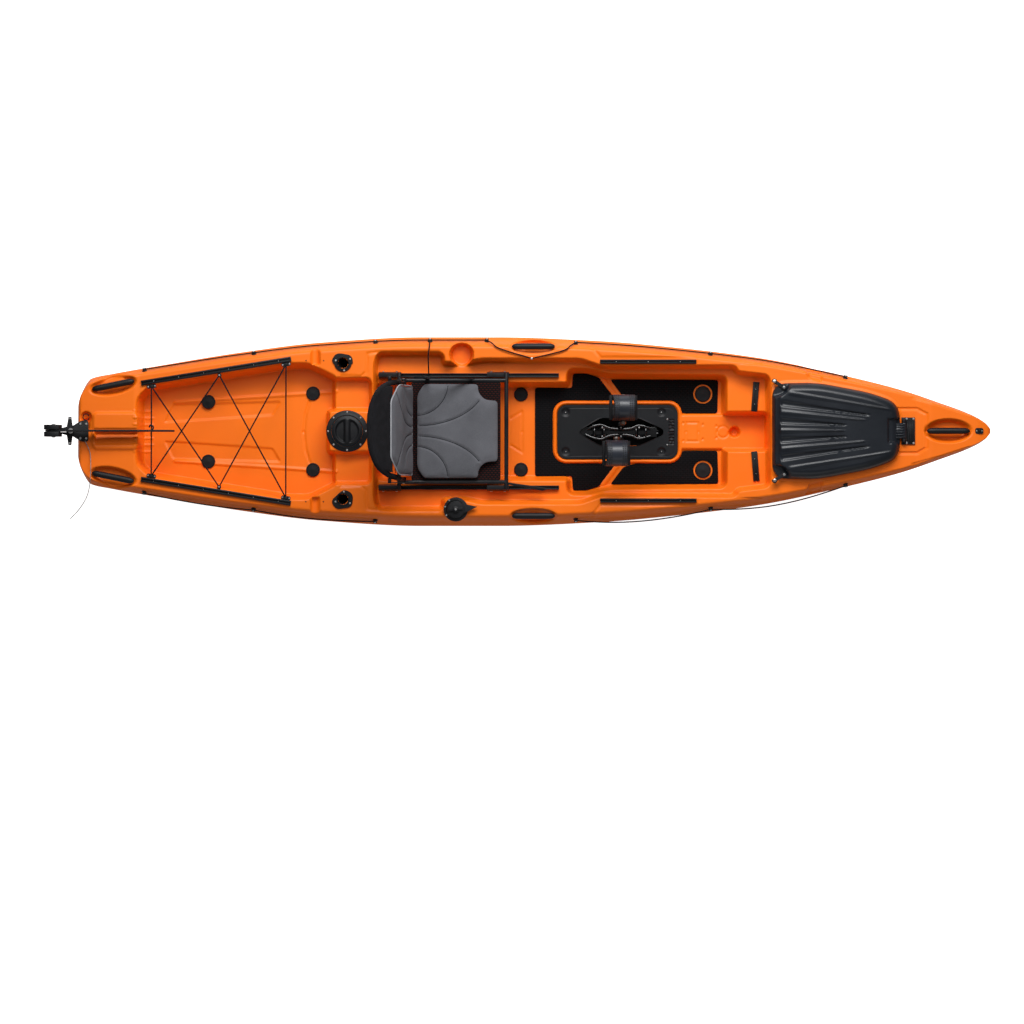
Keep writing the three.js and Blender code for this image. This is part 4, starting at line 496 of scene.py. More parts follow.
def placed(shares):
    """A port half outline in shares of the hull, made whole and in metres."""
    half = [(x * half_length, y * half_beam) for x, y in shares]
    return half + [(x, -y) for x, y in half[::-1]]


def rounded(outline, radius, steps=6):
    """An outline with each corner drawn as a curve between its two sides."""
    p = [np.array(q, float) for q in outline]
    made = []
    for before, at, after in zip(p[-1:] + p[:-1], p, p[1:] + p[:1]):
        ends = []
        for q in (before, after):
            run = np.linalg.norm(q - at)
            ends.append(at + (q - at) * min(radius, 0.45 * run) / run)
        for t in np.linspace(0, 1, steps + 1):
            made.append(tuple(ends[0] * (1 - t)**2 + 2 * at * t * (1 - t) + ends[1] * t**2))
    return made


def oblong(x, y, length, width, radius):
    return [(x + u, y + v) for u, v in rounded_outline(length, width, radius)]


def depth_inside(outline, x, y):
    """How far each point lies inside an outline; outside it is less than nothing."""
    away = np.full(x.shape, np.inf)
    inside = np.zeros(x.shape, bool)
    for (ax, ay), (bx, by) in zip(outline, [*outline[1:], outline[0]]):
        run = max((bx - ax)**2 + (by - ay)**2, 1e-12)
        t = np.clip(((x - ax) * (bx - ax) + (y - ay) * (by - ay)) / run, 0, 1)
        away = np.minimum(away, (x - ax - t * (bx - ax))**2 + (y - ay - t * (by - ay))**2)
        crossed = (ay > y) != (by > y)
        inside ^= crossed & (x < (bx - ax) * (y - ay) / (by - ay if by != ay else 1e-12) + ax)
    return np.where(inside, 1, -1) * np.sqrt(away)


def eased(t):
    t = np.clip(t, 0, 1)
    return t * t * (3 - 2 * t)


def moulded(z, q, level, run, share=0.7):
    """The skin taken to a level inside an outline, with a drafted wall that stands mostly outside it."""
    return z + (level - z) * eased(q / run + share)


stations = np.unique(np.round(np.r_[
    np.arange(-half_length, half_length, 0.005), half_length,
    -half_length + np.array([0.0008, 0.002, 0.004, 0.007]), half_length - np.array([0.0008, 0.002, 0.004, 0.007])], 5))
shares = np.r_[np.linspace(0, 0.86, 73), 0.868, 0.877, 0.885, 0.895, 0.905, 0.915, 0.927, 0.939, 0.95,
               0.962, 0.974, 0.986, 0.994, 1]
shares = np.r_[-shares[:0:-1], shares]
deck_x, deck_v = np.meshgrid(stations, shares, indexing="ij")
deck_y = deck_v * beam_at(deck_x)
end_round = 0.02
from_end = np.clip((half_length - np.abs(deck_x)) / end_round, 0, 1)
deck_line = fair(deck_shares, deck_x / half_length) * deck_height
deck_z = seam_at(deck_x) + (deck_line - seam_at(deck_x)) * fair(gunwale_shares, np.abs(deck_v)) \
    * np.sqrt(1 - (1 - from_end)**2)


def from_lines(lines, x, y):
    """The distance of each point from the nearest of some bent lines."""
    away = np.full(x.shape, np.inf)
    for line in lines:
        for (ax, ay), (bx, by_end) in zip(line, line[1:]):
            dx, dy = bx - ax, by_end - ay
            t = np.clip(((x - ax) * dx + (y - ay) * dy) / (dx * dx + dy * dy), 0, 1)
            away = np.minimum(away, np.hypot(x - ax - t * dx, y - ay - t * dy))
    return away


def around(outline, reach):
    """Which of the deck's points lie in the box round an outline."""
    xs, ys = zip(*outline)
    return ((deck_x > min(xs) - reach) & (deck_x < max(xs) + reach)
            & (deck_y > min(ys) - reach) & (deck_y < max(ys) + reach))


def near(outline):
    """Where the deck's points lie near an outline, and how deep inside it they are."""
    by = around(outline, 0.05)
    return by, depth_inside(outline, deck_x[by], deck_y[by])


def press(outline, level, run, share=0.7):
    by, q = near(outline)
    deck_z[by] = moulded(deck_z[by], q, level, run, share)


def sink(outline, depth, run, share=0.7):
    by, q = near(outline)
    deck_z[by] -= depth * eased(q / run + share)


def round_outline(x, y, radius, count=40):
    return [(x + radius * math.cos(a), y + radius * math.sin(a))
            for a in np.linspace(0, 2 * math.pi, count, endpoint=False)]


for outline, level, run in (
        (placed(well_shares), well_floor, 0.026), (placed(ledge_shares), ledge_floor, 0.018)):
    press(rounded(outline, corner_radius), level, run)
press(rounded(placed(block_shares), corner_radius), block_top, 0.02, 0.3)
for outline, level, run in (
        (placed(cockpit_shares), shelf_floor, 0.02), (placed(foot_shares), cockpit_floor, 0.024),
        (placed(channel_shares), ridge_top, 0.02)):
    press(rounded(outline, corner_radius), level, run)
press(rounded(placed(ridge_shares), corner_radius / 2), ridge_top, 0.012, 0.5)
press(oblong(plate_middle, 0, plate_length + 2 * rim_width, plate_width + 2 * rim_width, plate_corner + rim_width),
      cockpit_floor + rim_rise, 0.007, 0.6)
press(oblong(plate_middle, 0, plate_length, plate_width, plate_corner), cockpit_floor, 0.006, 0.6)
lid_outline = rounded(placed(lid_shares), 3 * corner_radius)
by, q = near(lid_outline)
deck_z[by] = moulded(deck_z[by], q + 0.005, lid_seat, 0.012)
deck_z[by] = moulded(deck_z[by], q - 0.016, coaming_top, 0.006, 0.4)
deck_z[by] = moulded(deck_z[by], q - 0.024, 0.23, 0.01, 0.2)
bay = np.zeros(deck_x.shape, bool)
bay[by] = q > 0.036
press(rounded([(-1.95, -0.078), (-1.752, -0.078), (-1.752, 0.078), (-1.95, 0.078)], corner_radius), 0.286, 0.016)
press(oblong(-1.851, 0, 0.198, 0.02, 0.008), 0.2793, 0.006)
for x, y, turn, width in grip_places:
    u = (deck_x - x) * math.cos(turn) + (deck_y - y) * math.sin(turn)
    w = (deck_y - y) * math.cos(turn) - (deck_x - x) * math.sin(turn)
    deck_z -= 0.038 * eased((1.1 - np.hypot(u / 0.1025, w / width * 2)) / 0.42)
press(round_outline(*cup_place, 0.046), 0.19, 0.012)
rest_depth = np.sqrt(np.clip(0.021**2 - (deck_x + 0.969)**2, 0, None))
deck_z = np.minimum(deck_z, 0.27 - rest_depth + 0.1 * (1 - eased((np.abs(deck_y) - 0.284) / 0.012)))


def crease(points, width, rise):
    """A rounded rib, or a groove if the rise is below nothing, along a bent line and its mirror."""
    for side in (1, -1):
        line = [(x, side * y) for x, y in points]
        by = around(line, width)
        deck_z[by] += rise * eased((width - from_lines([line], deck_x[by], deck_y[by])) / (0.7 * width))


for side in (1, -1):
    for corners, radius, depth, run, share in (
            (((-1.649, 0.042), (-1.165, 0.075), (-1.13, 0.134), (-1.61, 0.121)), 0.01, 0.006, 0.009, 0.5),
            (((1.197, 0.31), (1.285, 0.29), (1.278, 0.222), (1.222, 0.236)), 0.01, 0.016, 0.012, 0.5),
            (((0.262, 0.382), (0.3, 0.331), (0.728, 0.331), (0.728, 0.297), (0.3, 0.297), (0.29, 0.33),
              (0.252, 0.372)), 0.004, 0.004, 0.008, 0.6)):
        sink(rounded([(x, side * y) for x, y in corners], radius), depth, run, share)
for points, width, rise in (
        ([(-1.6, 0.132), (-1.04, 0.168), (-0.877, 0.179)], 0.009, 0.005),
        ([(-1.77, 0.09), (-1.71, 0.09)], 0.007, 0.003),
        ([(-1.77, 0.06), (-1.7, 0.06)], 0.007, 0.003),
        ([(-1.77, 0.03), (-1.7, 0.03)], 0.007, 0.003),
        ([(-0.999, 0.14), (-1.018, 0.08), (-1.026, 0)], 0.008, -0.004),
        ([(-0.853, 0.245), (-0.765, 0.242), (-0.742, 0.262), (-0.737, 0.344), (-0.683, 0.352), (-0.42, 0.352)],
         0.008, -0.0035),
        ([(-0.1, 0.06), (-0.05, 0.092), (-0.05, 0)], 0.007, -0.003),
        ([(0.311, 0.234), (0.373, 0.153)], 0.018, 0.006),
        ([(0.686, 0), (0.686, 0.042), (0.741, 0.042), (0.741, 0)], 0.006, -0.003),
        ([(0.851 + 0.026 * math.cos(a), 0.026 * math.sin(a)) for a in np.linspace(0, math.pi, 9)], 0.006, -0.003),
        ([(1.68, 0.148), (1.8, 0.114), (1.927, 0.073)], 0.008, -0.004),
        ([(1.6, 0.098), (1.7, 0.098), (1.74, 0.075), (1.74, 0)], 0.009, -0.005)):
    crease(points, width, rise)
for x, y in ((0.673, 0.04), (0.76, 0.033), (0.822, 0.026)):
    for side in (1, -1):
        sink(round_outline(x, side * y, 0.004, 12), 0.006, 0.006, 0.5)
sink(round_outline(0.903, 0, 0.02), 0.035, 0.01, 0.6)
sink(round_outline(-1.984, 0.062, 0.02), 0.024, 0.012, 0.6)
sink(oblong(-1.984, 0.03, 0.028, 0.05, 0.012), 0.012, 0.01, 0.6)
slope = rounded([(-1.945, -0.004), (-1.745, -0.004), (-1.745, -0.062), (-1.945, -0.062)], 0.012)
by, q = near(slope)
deck_z[by] -= 0.03 * eased(q / 0.012 + 0.5) * np.clip((deck_y[by] + 0.07) / 0.066, 0, 1)

gone = bay
for x, y, radius in [(*place, 0.027) for place in rod_places] + [(*hatch_place, 0.072)] \
        + [(*place, 0.02) for place in scupper_places]:
    gone = gone | (np.hypot(deck_x - x, deck_y - y) < radius)
by, q = near(oblong(well_middle[0], 0, *well_size, well_corner))
gone[by] |= q > 0.004
deck_grid = np.stack([deck_x, deck_y, deck_z], 2)
deck_normals = np.cross(np.gradient(deck_grid, axis=0), np.gradient(deck_grid, axis=1)).reshape(-1, 3)
deck_normals /= np.linalg.norm(deck_normals, axis=1)[:, None]
deck_parts = 5
edges = np.linspace(0, len(stations) - 1, deck_parts + 1).astype(int)
for part, (start, stop) in enumerate(zip(edges, edges[1:])):
    cell_i, cell_j = np.meshgrid(np.arange(start, stop), np.arange(len(shares) - 1), indexing="ij")
    a = (cell_i * len(shares) + cell_j).ravel()
    quads = np.stack([a, a + len(shares), a + len(shares) + 1, a + 1], 1)
    quads = quads[~gone.ravel()[quads].all(axis=1)]
    used = np.unique(quads)
    number = np.zeros(deck_x.size, int)
    number[used] = np.arange(len(used))
    quads = number[quads]
    top = np.stack([deck_x.ravel()[used], deck_y.ravel()[used], deck_z.ravel()[used]], 1)
    under = top - (0, 0, wall)
    n = len(used)
    sides = np.vstack([quads[:, (k, (k + 1) % 4)] for k in range(4)])
    code = sides[:, 0] * n + sides[:, 1]
    rim = sides[~np.isin(code, sides[:, 1] * n + sides[:, 0])]
    strips = np.stack([rim[:, 1], rim[:, 0], rim[:, 0] + n, rim[:, 1] + n], 1)
    deck = made_of("deck_" + str(part), np.vstack([top, under]),
                   np.vstack([quads, quads[:, ::-1] + n, strips]), orange.material)
    smooth = np.ones(len(deck.data.polygons), bool)
    smooth[2 * len(quads):] = False
    deck.data.polygons.foreach_set("use_smooth", smooth)
    corners = np.zeros(len(deck.data.loops), int)
    deck.data.loops.foreach_get("vertex_index", corners)
    leans = np.vstack([deck_normals[used], -deck_normals[used]])[corners]
    leans[8 * len(quads):] = 0
    deck.data.normals_split_custom_set(leans)
    settle(deck, "kayak", "orange", "deck_shell")

# Scupper tubes and the trunk of the drive well: the same moulding carried down from the floors to the
# bottom of the hull, so that water runs out and the fins can swing.
trunk_faces, trunk_corners = [], []


def tube_wall(outline, thick, low, high):
    """A closed upright wall round an outline, for the pieces that run between deck and hull."""
    n, base = len(outline), len(trunk_corners)
    middle = np.mean(outline, axis=0)
    for (x, y) in outline:
        away = np.array((x, y)) - middle
        away = away / np.linalg.norm(away) * thick
        for dx, dy, z in ((0, 0, low), (0, 0, high), (away[0], away[1], high), (away[0], away[1], low)):
            trunk_corners.append((x + dx, y + dy, z))
    for k in range(n):
        a, b = base + 4 * k, base + 4 * ((k + 1) % n)
        for i in range(4):
            trunk_faces.append((a + i, b + i, b + (i + 1) % 4, a + (i + 1) % 4))


for i, (x, y) in enumerate(scupper_places):
    floor = well_floor if i < 4 else cockpit_floor
    tube_wall(round_outline(x, y, scupper_bore, 32), wall, float(keel_at(x)) + 0.006, floor - 0.002)
tube_wall([(x + well_middle[0], y) for x, y in rounded_outline(*well_size, well_corner)], wall, 0.002, 0.1)
trunks = made_of("scupper_tubes", trunk_corners, trunk_faces, orange.material)
trunks.data.set_sharp_from_angle(angle=math.radians(40))
settle(trunks, "kayak", "orange", "hull_shell")

# Foam mats: closed-cell foam cut to shape and glued to the cockpit floor, with rows of short pressed
# dashes that keep a heel from slipping.
def mended(name, node, look, edge=0.001, within=46):
    """A finished piece from a plain one: hard edges rounded, and shaded smooth between them."""
    work = bmesh.new()
    work.from_mesh((nodes[node] if isinstance(node, str) else node).data)
    bmesh.ops.remove_doubles(work, verts=work.verts, dist=1e-5)
    bmesh.ops.dissolve_limit(work, angle_limit=math.radians(0.5), verts=work.verts, edges=work.edges)
    hard = [e for e in work.edges if e.is_manifold and e.calc_face_angle(0) > math.radians(within)]
    bmesh.ops.bevel(work, geom=hard, offset=edge, segments=2, profile=0.6, affect="EDGES", clamp_overlap=True)
    mesh = bpy.data.meshes.new(name)
    work.to_mesh(mesh)
    work.free()
    mesh.materials.clear()
    mesh.materials.append(look.material)
    mesh.polygons.foreach_set("use_smooth", [True] * len(mesh.polygons))
    mesh.set_sharp_from_angle(angle=math.radians(46))
    return shown(name, mesh)


mat_look = Look("pressed_foam", Roughness=0.92, Specular_IOR_Level=0.1)
mat_place = mat_look.place()
dashes = mat_look.node(
    "ShaderNodeTexBrick", {"offset": 0.5}, mat_place, Scale=1.0, Mortar_Size=0.0017, Mortar_Smooth=0.5,
    Brick_Width=0.021, Row_Height=0.0095, out=1)
cells = mat_look.noise(900.0, 2.0, mat_place)
# The grooves of the pressed dashes are painted darker than the foam round them: painted shade in the grooves.
mat_look.feed(
    Base_Color=mat_look.mix(dashes, linear(20, 20, 22), linear(7, 7, 8)),
    Normal=mat_look.bump((1 - dashes) * 0.8 + cells * 0.2, 0.0012))
aft_mat = [(0.004, 0.47), (0.086, 0.47), (0.088, 0.622), (0.118, 0.622), (0.146, 0.58), (0.18, 0.372)]
fore_mat = [(0.171, 0.558), (0.41, 0.552), (0.408, 0.2), (0.335, 0.2), (0.2, 0.372)]
for node, outline in (("floor_mat_aft", placed(aft_mat)), ("floor_mat_port", placed(fore_mat)[:5]),
                      ("floor_mat_starboard", placed(fore_mat)[5:])):
    foam = slab("foam", rounded(outline, 0.011, 3), cockpit_floor + 0.0004, cockpit_floor + 0.0054)
    cut_away(foam, slab("rim", oblong(plate_middle, 0, plate_length + 2 * rim_width + 0.004,
                                      plate_width + 2 * rim_width + 0.004, plate_corner + rim_width), 0.09, 0.12))
    if node != "floor_mat_aft":
        x, y = scupper_places[6 if node.endswith("port") else 7]
        cut_away(foam, slab("ring", round_outline(x, y, 0.043), 0.09, 0.12))
    settle(mended(node + "_foam", foam, mat_look, 0.0012), "kayak", "mat", node)
    bpy.data.objects.remove(foam)

# Scupper plugs: soft black rubber stoppers with a thin dished head, pushed into the tops of the eight
# tubes; the two in the foot wells are a size larger.
def ringed(name, rings, look, loop=False, sharp=40):
    """A body through rings, with the places where they meet in a point welded."""
    return through(name, rings, look.material, loop, sharp=sharp, weld=True)


def circle(x, y, z, radius, count=48):
    return [(px, py, z) for px, py in round_outline(x, y, radius, count)]


def turned(name, profile, look, x=0, y=0, z=0, count=48, loop=False, sharp=40):
    """A body of revolution about an upright line, from radii and heights."""
    return ringed(name, [circle(x, y, z + h, r, count) for r, h in profile], look, loop, sharp)


copies = bpy.data.node_groups.new("copies_at_places", "GeometryNodeTree")
for label, kind, way in (("Places", "Geometry", "INPUT"), ("Part", "Object", "INPUT"),
                         ("Scale", "Float", "INPUT"), ("Look", "Material", "INPUT"),
                         ("Pieces", "Geometry", "OUTPUT")):
    copies.interface.new_socket(label, in_out=way, socket_type="NodeSocket" + kind)
made = {kind: copies.nodes.new(kind) for kind in (
    "NodeGroupInput", "NodeGroupOutput", "GeometryNodeObjectInfo", "GeometryNodeInstanceOnPoints",
    "FunctionNodeEulerToRotation", "ShaderNodeMath", "GeometryNodeRealizeInstances", "GeometryNodeSetMaterial")}
turn_of, size_of = (copies.nodes.new("GeometryNodeInputNamedAttribute") for _ in range(2))
turn_of.data_type, size_of.data_type = "FLOAT_VECTOR", "FLOAT"
turn_of.inputs["Name"].default_value, size_of.inputs["Name"].default_value = "turn", "size"
made["ShaderNodeMath"].operation = "MULTIPLY"
for source, out, target, into in (
        ("NodeGroupInput", "Places", "GeometryNodeInstanceOnPoints", "Points"),
        ("NodeGroupInput", "Part", "GeometryNodeObjectInfo", "Object"),
        ("GeometryNodeObjectInfo", "Geometry", "GeometryNodeInstanceOnPoints", "Instance"),
        ("FunctionNodeEulerToRotation", "Rotation", "GeometryNodeInstanceOnPoints", "Rotation"),
        ("NodeGroupInput", "Scale", "ShaderNodeMath", 1),
        ("ShaderNodeMath", 0, "GeometryNodeInstanceOnPoints", "Scale"),
        ("GeometryNodeInstanceOnPoints", "Instances", "GeometryNodeRealizeInstances", "Geometry"),
        ("GeometryNodeRealizeInstances", "Geometry", "GeometryNodeSetMaterial", "Geometry"),
        ("NodeGroupInput", "Look", "GeometryNodeSetMaterial", "Material"),
        ("GeometryNodeSetMaterial", "Geometry", "NodeGroupOutput", "Pieces")):
    copies.links.new(made[source].outputs[out], made[target].inputs[into])
copies.links.new(turn_of.outputs["Attribute"], made["FunctionNodeEulerToRotation"].inputs[0])
copies.links.new(size_of.outputs["Attribute"], made["ShaderNodeMath"].inputs[0])
inputs = {item.name: item.identifier for item in copies.interface.items_tree if item.in_out == "INPUT"}


def repeated(name, part, places, look, scale=1.0):
    """A small part set at each place, given as its middle, its turn and its size, as one mesh."""
    piece = made_of(name, [middle for middle, _, _ in places], [])
    for key, kind, field, values in (
            ("turn", "FLOAT_VECTOR", "vector", [c for _, turn, _ in places for c in turn]),
            ("size", "FLOAT", "value", [size for _, _, size in places])):
        piece.data.attributes.new(key, kind, "POINT").data.foreach_set(field, values)
    modifier = piece.modifiers.new("copies", "NODES")
    modifier.node_group = copies
    for label, value in (("Part", part), ("Scale", scale), ("Look", look.material)):
        modifier[inputs[label]] = value
    finished(piece)
    bpy.data.objects.remove(part)
    return piece


rubber = clouded("soft_rubber", (10, 11, 13), (24, 25, 28), (30.0, 4.0), (0.42, 0.3), (800.0, 2.0, 0.0002),
                 Specular_IOR_Level=0.25)
plug_profile = [(0, -0.024), (0.016, -0.024), (0.019, -0.001), (0.03, -0.001), (0.0312, 0.001), (0.031, 0.0036),
                (0.029, 0.0062), (0.0262, 0.0066), (0.0245, 0.0045), (0.012, 0.005), (0.004, 0.0062), (0, 0.0064)]
plug_names = [name + side for name in ("plug_well_aft", "plug_well_fore", "plug_seat", "plug_foot")
              for side in ("_port", "_starboard")]
settle(repeated("scupper_plugs", turned("plug", plug_profile, rubber), [
    ((x, y, (well_floor if i < 4 else cockpit_floor) + 0.0014), (0, 0, 0), 1.14 if i > 5 else 1)
    for i, (x, y) in enumerate(scupper_places)], rubber), "kayak", "rubber", *plug_names)

# Carrying grips: ribbed black bars over the five hand pockets, each on two posts that are screwed to the
# pocket's floor.
def joined(name, *pieces):
    """Pieces of one material put together as one mesh, the first one's."""
    work = bmesh.new()
    for piece in pieces:
        work.from_mesh(piece.data)
    work.to_mesh(pieces[0].data)
    work.free()
    for piece in pieces[1:]:
        bpy.data.objects.remove(piece)
    pieces[0].name = name
    return pieces[0]


def deck_at(x):
    return float(fair(deck_shares, x / half_length)) * deck_height


black = clouded("grained_black_plastic", (9, 10, 12), (23, 24, 28), (9.0, 5.0), (0.36, 0.26), (1400.0, 1.0, 0.00025),
                0.7, Specular_IOR_Level=0.3)
grip_half, grip_radius = 0.0955, 0.0145
grip_rings = []
for x in grip_half * np.sin(np.linspace(-math.pi / 2, math.pi / 2, 91)):
    r = grip_radius * max(1 - abs(x / grip_half)**7, 0)**0.5
    r -= 0.0007 * (0.5 + 0.5 * math.cos(2 * math.pi * x / 0.0095)) * (abs(x) < 0.068)
    grip_rings.append([(x, u, v) for u, v in round_outline(0, 0, r, 28)])
post_x = 0.081
posts = [tube("post", [(side * post_x, 0, z) for z in (-0.036, -0.018, 0)], 0.0075, black.material, 20)
         for side in (1, -1)]
grip = joined("grip", ringed("bar", grip_rings, black), *posts)
grip_names = ["grip_stern_port", "grip_stern_starboard", "grip_mid_port", "grip_mid_starboard", "grip_bow"]
grip_spots = [((x, y, deck_at(x) - 0.0016), (0, 0, turn), 1) for x, y, turn, _ in grip_places]
settle(repeated("carrying_grips", grip, grip_spots, black), "kayak", "black", *grip_names)

# Gear tracks: extruded black channels with a narrow slot, screwed along their floor to the gunwales and to
# the shelf in front of the hatch.
screw_rings = [circle(0, 0, 0, 1, 12), circle(0, 0, 0.22, 1, 12), circle(0, 0, 0.45, 0.8, 12)]
for height in (0.5, 0.16):
    screw_rings.append([(0.58 * math.cos(a) * f, 0.58 * math.sin(a) * f, height)
                        for a, f in zip(np.linspace(0, 2 * math.pi, 12, endpoint=False), [1, 0.4, 0.4] * 4)])
bright = Look("bright_stainless", Roughness=0.28, Metallic=1.0)
bright_place = bright.place()
bright.feed(
    Base_Color=bright.mix(bright.noise(160.0, 3.0, bright_place), linear(188, 189, 190), linear(232, 232, 230)),
    Roughness=0.2 + bright.noise(300.0, 2.0, bright_place) * 0.25)


def screws(name, body, places, radius=0.0042, turn=(0, 0, 0), look=None):
    """Cross-head screws of one body, each place given or with its own turn."""
    spots = [(place, turn, radius) if len(place) == 3 else (*place, radius) for place in places]
    heads = repeated(name, ringed("screw", screw_rings, bright), spots, look or bright)
    return settle(heads, body, "black" if look else "steel")


screw_pitch = 0.11


def outward(side):
    """The turn that lays an upright screw on its side, with its head out to port or starboard."""
    return -side * math.pi / 2, 0, 0


for node, (x0, y0), (x1, y1), height in (
        ("track_aft", (-1.7395, 0.213), (-1.0753, 0.32), 0.2744),
        ("track_mid", (0.2957, 0.3082), (0.7229, 0.3082), 0.2744),
        ("track_cross", (0.9842, 0.0888), (0.9943, 0.221), 0.2044)):
    for side, name in both(node):
        settle(mended(name + "_channel", name, black, 0.0007), "kayak", "black", name)
        count = max(int(math.hypot(x1 - x0, y1 - y0) / screw_pitch), 2)
        screws(name + "_screws", "kayak", [
            (x0 + (x1 - x0) * t, side * (y0 + (y1 - y0) * t), height)
            for t in (np.arange(count) + 0.5) / count], 0.002)

# Rod holders: moulded black flanges of three rounded corners, let into the gunwales behind the seat with a
# slanted socket below and three screws in the flange.
def by_angle(outline, x, y, count=72):
    """An outline seen from a point inside it: where the ray of each angle meets it."""
    ends = np.array(outline, float) - (x, y)
    steps = np.linspace(0, 1, 24, endpoint=False)[:, None]
    points = np.vstack([a * (1 - steps) + b * steps for a, b in zip(ends, np.roll(ends, -1, axis=0))])
    turns = np.unwrap(np.arctan2(points[:, 1], points[:, 0]))
    if turns[-1] < turns[0]:
        points, turns = points[::-1], turns[::-1]
    turns = np.r_[turns - 2 * math.pi, turns, turns + 2 * math.pi]
    reach = np.tile(np.hypot(points[:, 0], points[:, 1]), 3)
    angles = np.linspace(0, 2 * math.pi, count, endpoint=False)
    far = np.interp(angles, turns, reach)
    return np.stack([x + far * np.cos(angles), y + far * np.sin(angles)], 1)


def at_height(ring, z):
    return [(x, y, z) for x, y in ring]



def toward(ring, x, y, by):
    """A ring drawn in towards a point by a distance."""
    away = np.array(ring) - (x, y)
    far = np.linalg.norm(away, axis=1)[:, None]
    return np.array(ring) - away / far * by


rod_lean = 0.3
for side, name in both("rod_holder"):
    (x, y), base = rod_places[side < 0], 0.2708
    flange = by_angle(rounded([(x + u * 0.0545, y + side * v * 0.046) for u, v in (
        (-1, 0.15), (-0.55, 1), (0.75, 0.75), (0.85, -0.5), (0.1, -1))], 0.022), x, y)

    def socket(radius, depth):
        """A ring square to the leaning bore, at a depth along it."""
        lean_x, lean_z = math.cos(rod_lean), math.sin(rod_lean)
        return [(x + u * lean_x + depth * lean_z, y + v, deck_level + u * lean_z - depth * lean_x)
                for u, v in round_outline(0, 0, radius, 72)]

    rings = [socket(0.0265, 0.149), socket(0.0268, 0.012), at_height(flange, base), at_height(flange, base + 0.0035),
             at_height(toward(flange, x, y, 0.0025), base + 0.006), circle(x, y, base + 0.0062, 0.0315, 72),
             circle(x, y, base + 0.0088, 0.03, 72), circle(x, y, base + 0.009, 0.0262, 72),
             circle(x, y, base + 0.0076, 0.0246, 72), socket(0.024, 0.02), socket(0.0238, 0.146)]
    settle(ringed(name + "_socket", rings, black), "kayak", "black", name)
    screws(name + "_screws", "kayak", [(x + u * 0.044, y + side * v * 0.036, base + 0.006)
                                       for u, v in ((-0.72, 0.3), (0.72, 0.5), (0.12, -0.92))], 0.0046)

# The round hatch behind the seat: a black ring held by eight screws, with a twist-off lid whose cross bar
# stands between two scooped finger pockets.
x, y = hatch_place
ring_profile = [(0.0702, -0.0118), (0.0724, -0.0118), (0.0724, 0), (0.0922, 0), (0.0928, 0.0022), (0.0905, 0.0048),
                (0.0865, 0.0058), (0.0765, 0.006), (0.0745, 0.0075), (0.0715, 0.0074), (0.0702, 0.006)]
hatch_level = block_top + 0.0004
settle(turned("hatch_ring_flange", ring_profile, black, x, y, hatch_level, 96, True), "kayak", "black", "hatch_ring")
screws("hatch_ring_screws", "kayak", circle(x, y, block_top + 0.006, 0.0842, 8), 0.0044)
seal_profile = [(0, -0.0115), (0.066, -0.0115), (0.0688, -0.009), (0.0691, -0.004), (0.0688, -0.0004), (0, -0.0004)]
seal = turned("hatch_seal_ring", seal_profile, rubber, x, y, hatch_level, 72)
settle(seal, "hatch_plug", "rubber", "hatch_seal")
lid_rings = [circle(x, y, hatch_level, r, 96) for r in (0, 0.0685)]
for r in [*np.linspace(0.069, 0.066, 4), *np.linspace(0.064, 0.001, 34)]:
    ring = []
    for u, v in round_outline(0, 0, r, 96):
        z = 0.0068 + 0.0042 * float(eased((0.069 - r) / 0.014)) + 0.002 * (1 - r / 0.069)
        z -= 0.0095 * float(eased((0.055 - r) / 0.009) * eased((abs(u) - 0.0085 - 0.05 * abs(v) ** 1.2) / 0.007))
        z += 0.0022 * float(eased((0.0085 - abs(u)) / 0.004) * eased((0.058 - abs(v)) / 0.008))
        ring.append((x + u, y + v, block_top + z))
    lid_rings.append(ring)
settle(ringed("hatch_twist_lid", lid_rings, black, sharp=60), "hatch_top", "black", "hatch_lid")

# The forward hatch lid: a domed black moulding over the coaming, stiffened by raised ribs and tapering
# grooves that run forward, with a rolled rim and two cut-back corners for the latches.
lid_black = clouded("satin_blue_black_plastic", (15, 18, 23), (30, 35, 43), (6.0, 5.0), (0.24, 0.2),
                    (1100.0, 2.0, 0.0002), 0.6, Specular_IOR_Level=0.4)
lid_spring, lid_rise, lid_shoulder = 0.2893, 0.056, 0.036
lid_middle = (1.33, 0)
lid_edge = by_angle(rounded(placed(lid_shares), 3 * corner_radius, 10), *lid_middle, 320)


def ridge(x, y, start, end, wide, rise):
    """A long tapering rib or groove between two points: how much it lifts each place of the lid."""
    (ax, ay), (bx, by_end) = start, end
    dx, dy = bx - ax, by_end - ay
    t = ((x - ax) * dx + (y - ay) * dy) / (dx * dx + dy * dy)
    away = np.abs((x - ax) * dy - (y - ay) * dx) / math.hypot(dx, dy)
    width = wide * np.clip(1.1 - 0.75 * t, 0.2, 1)
    return rise * eased((width - away) / (0.6 * width)) * eased(t / 0.04) * eased((1 - t) / 0.08)


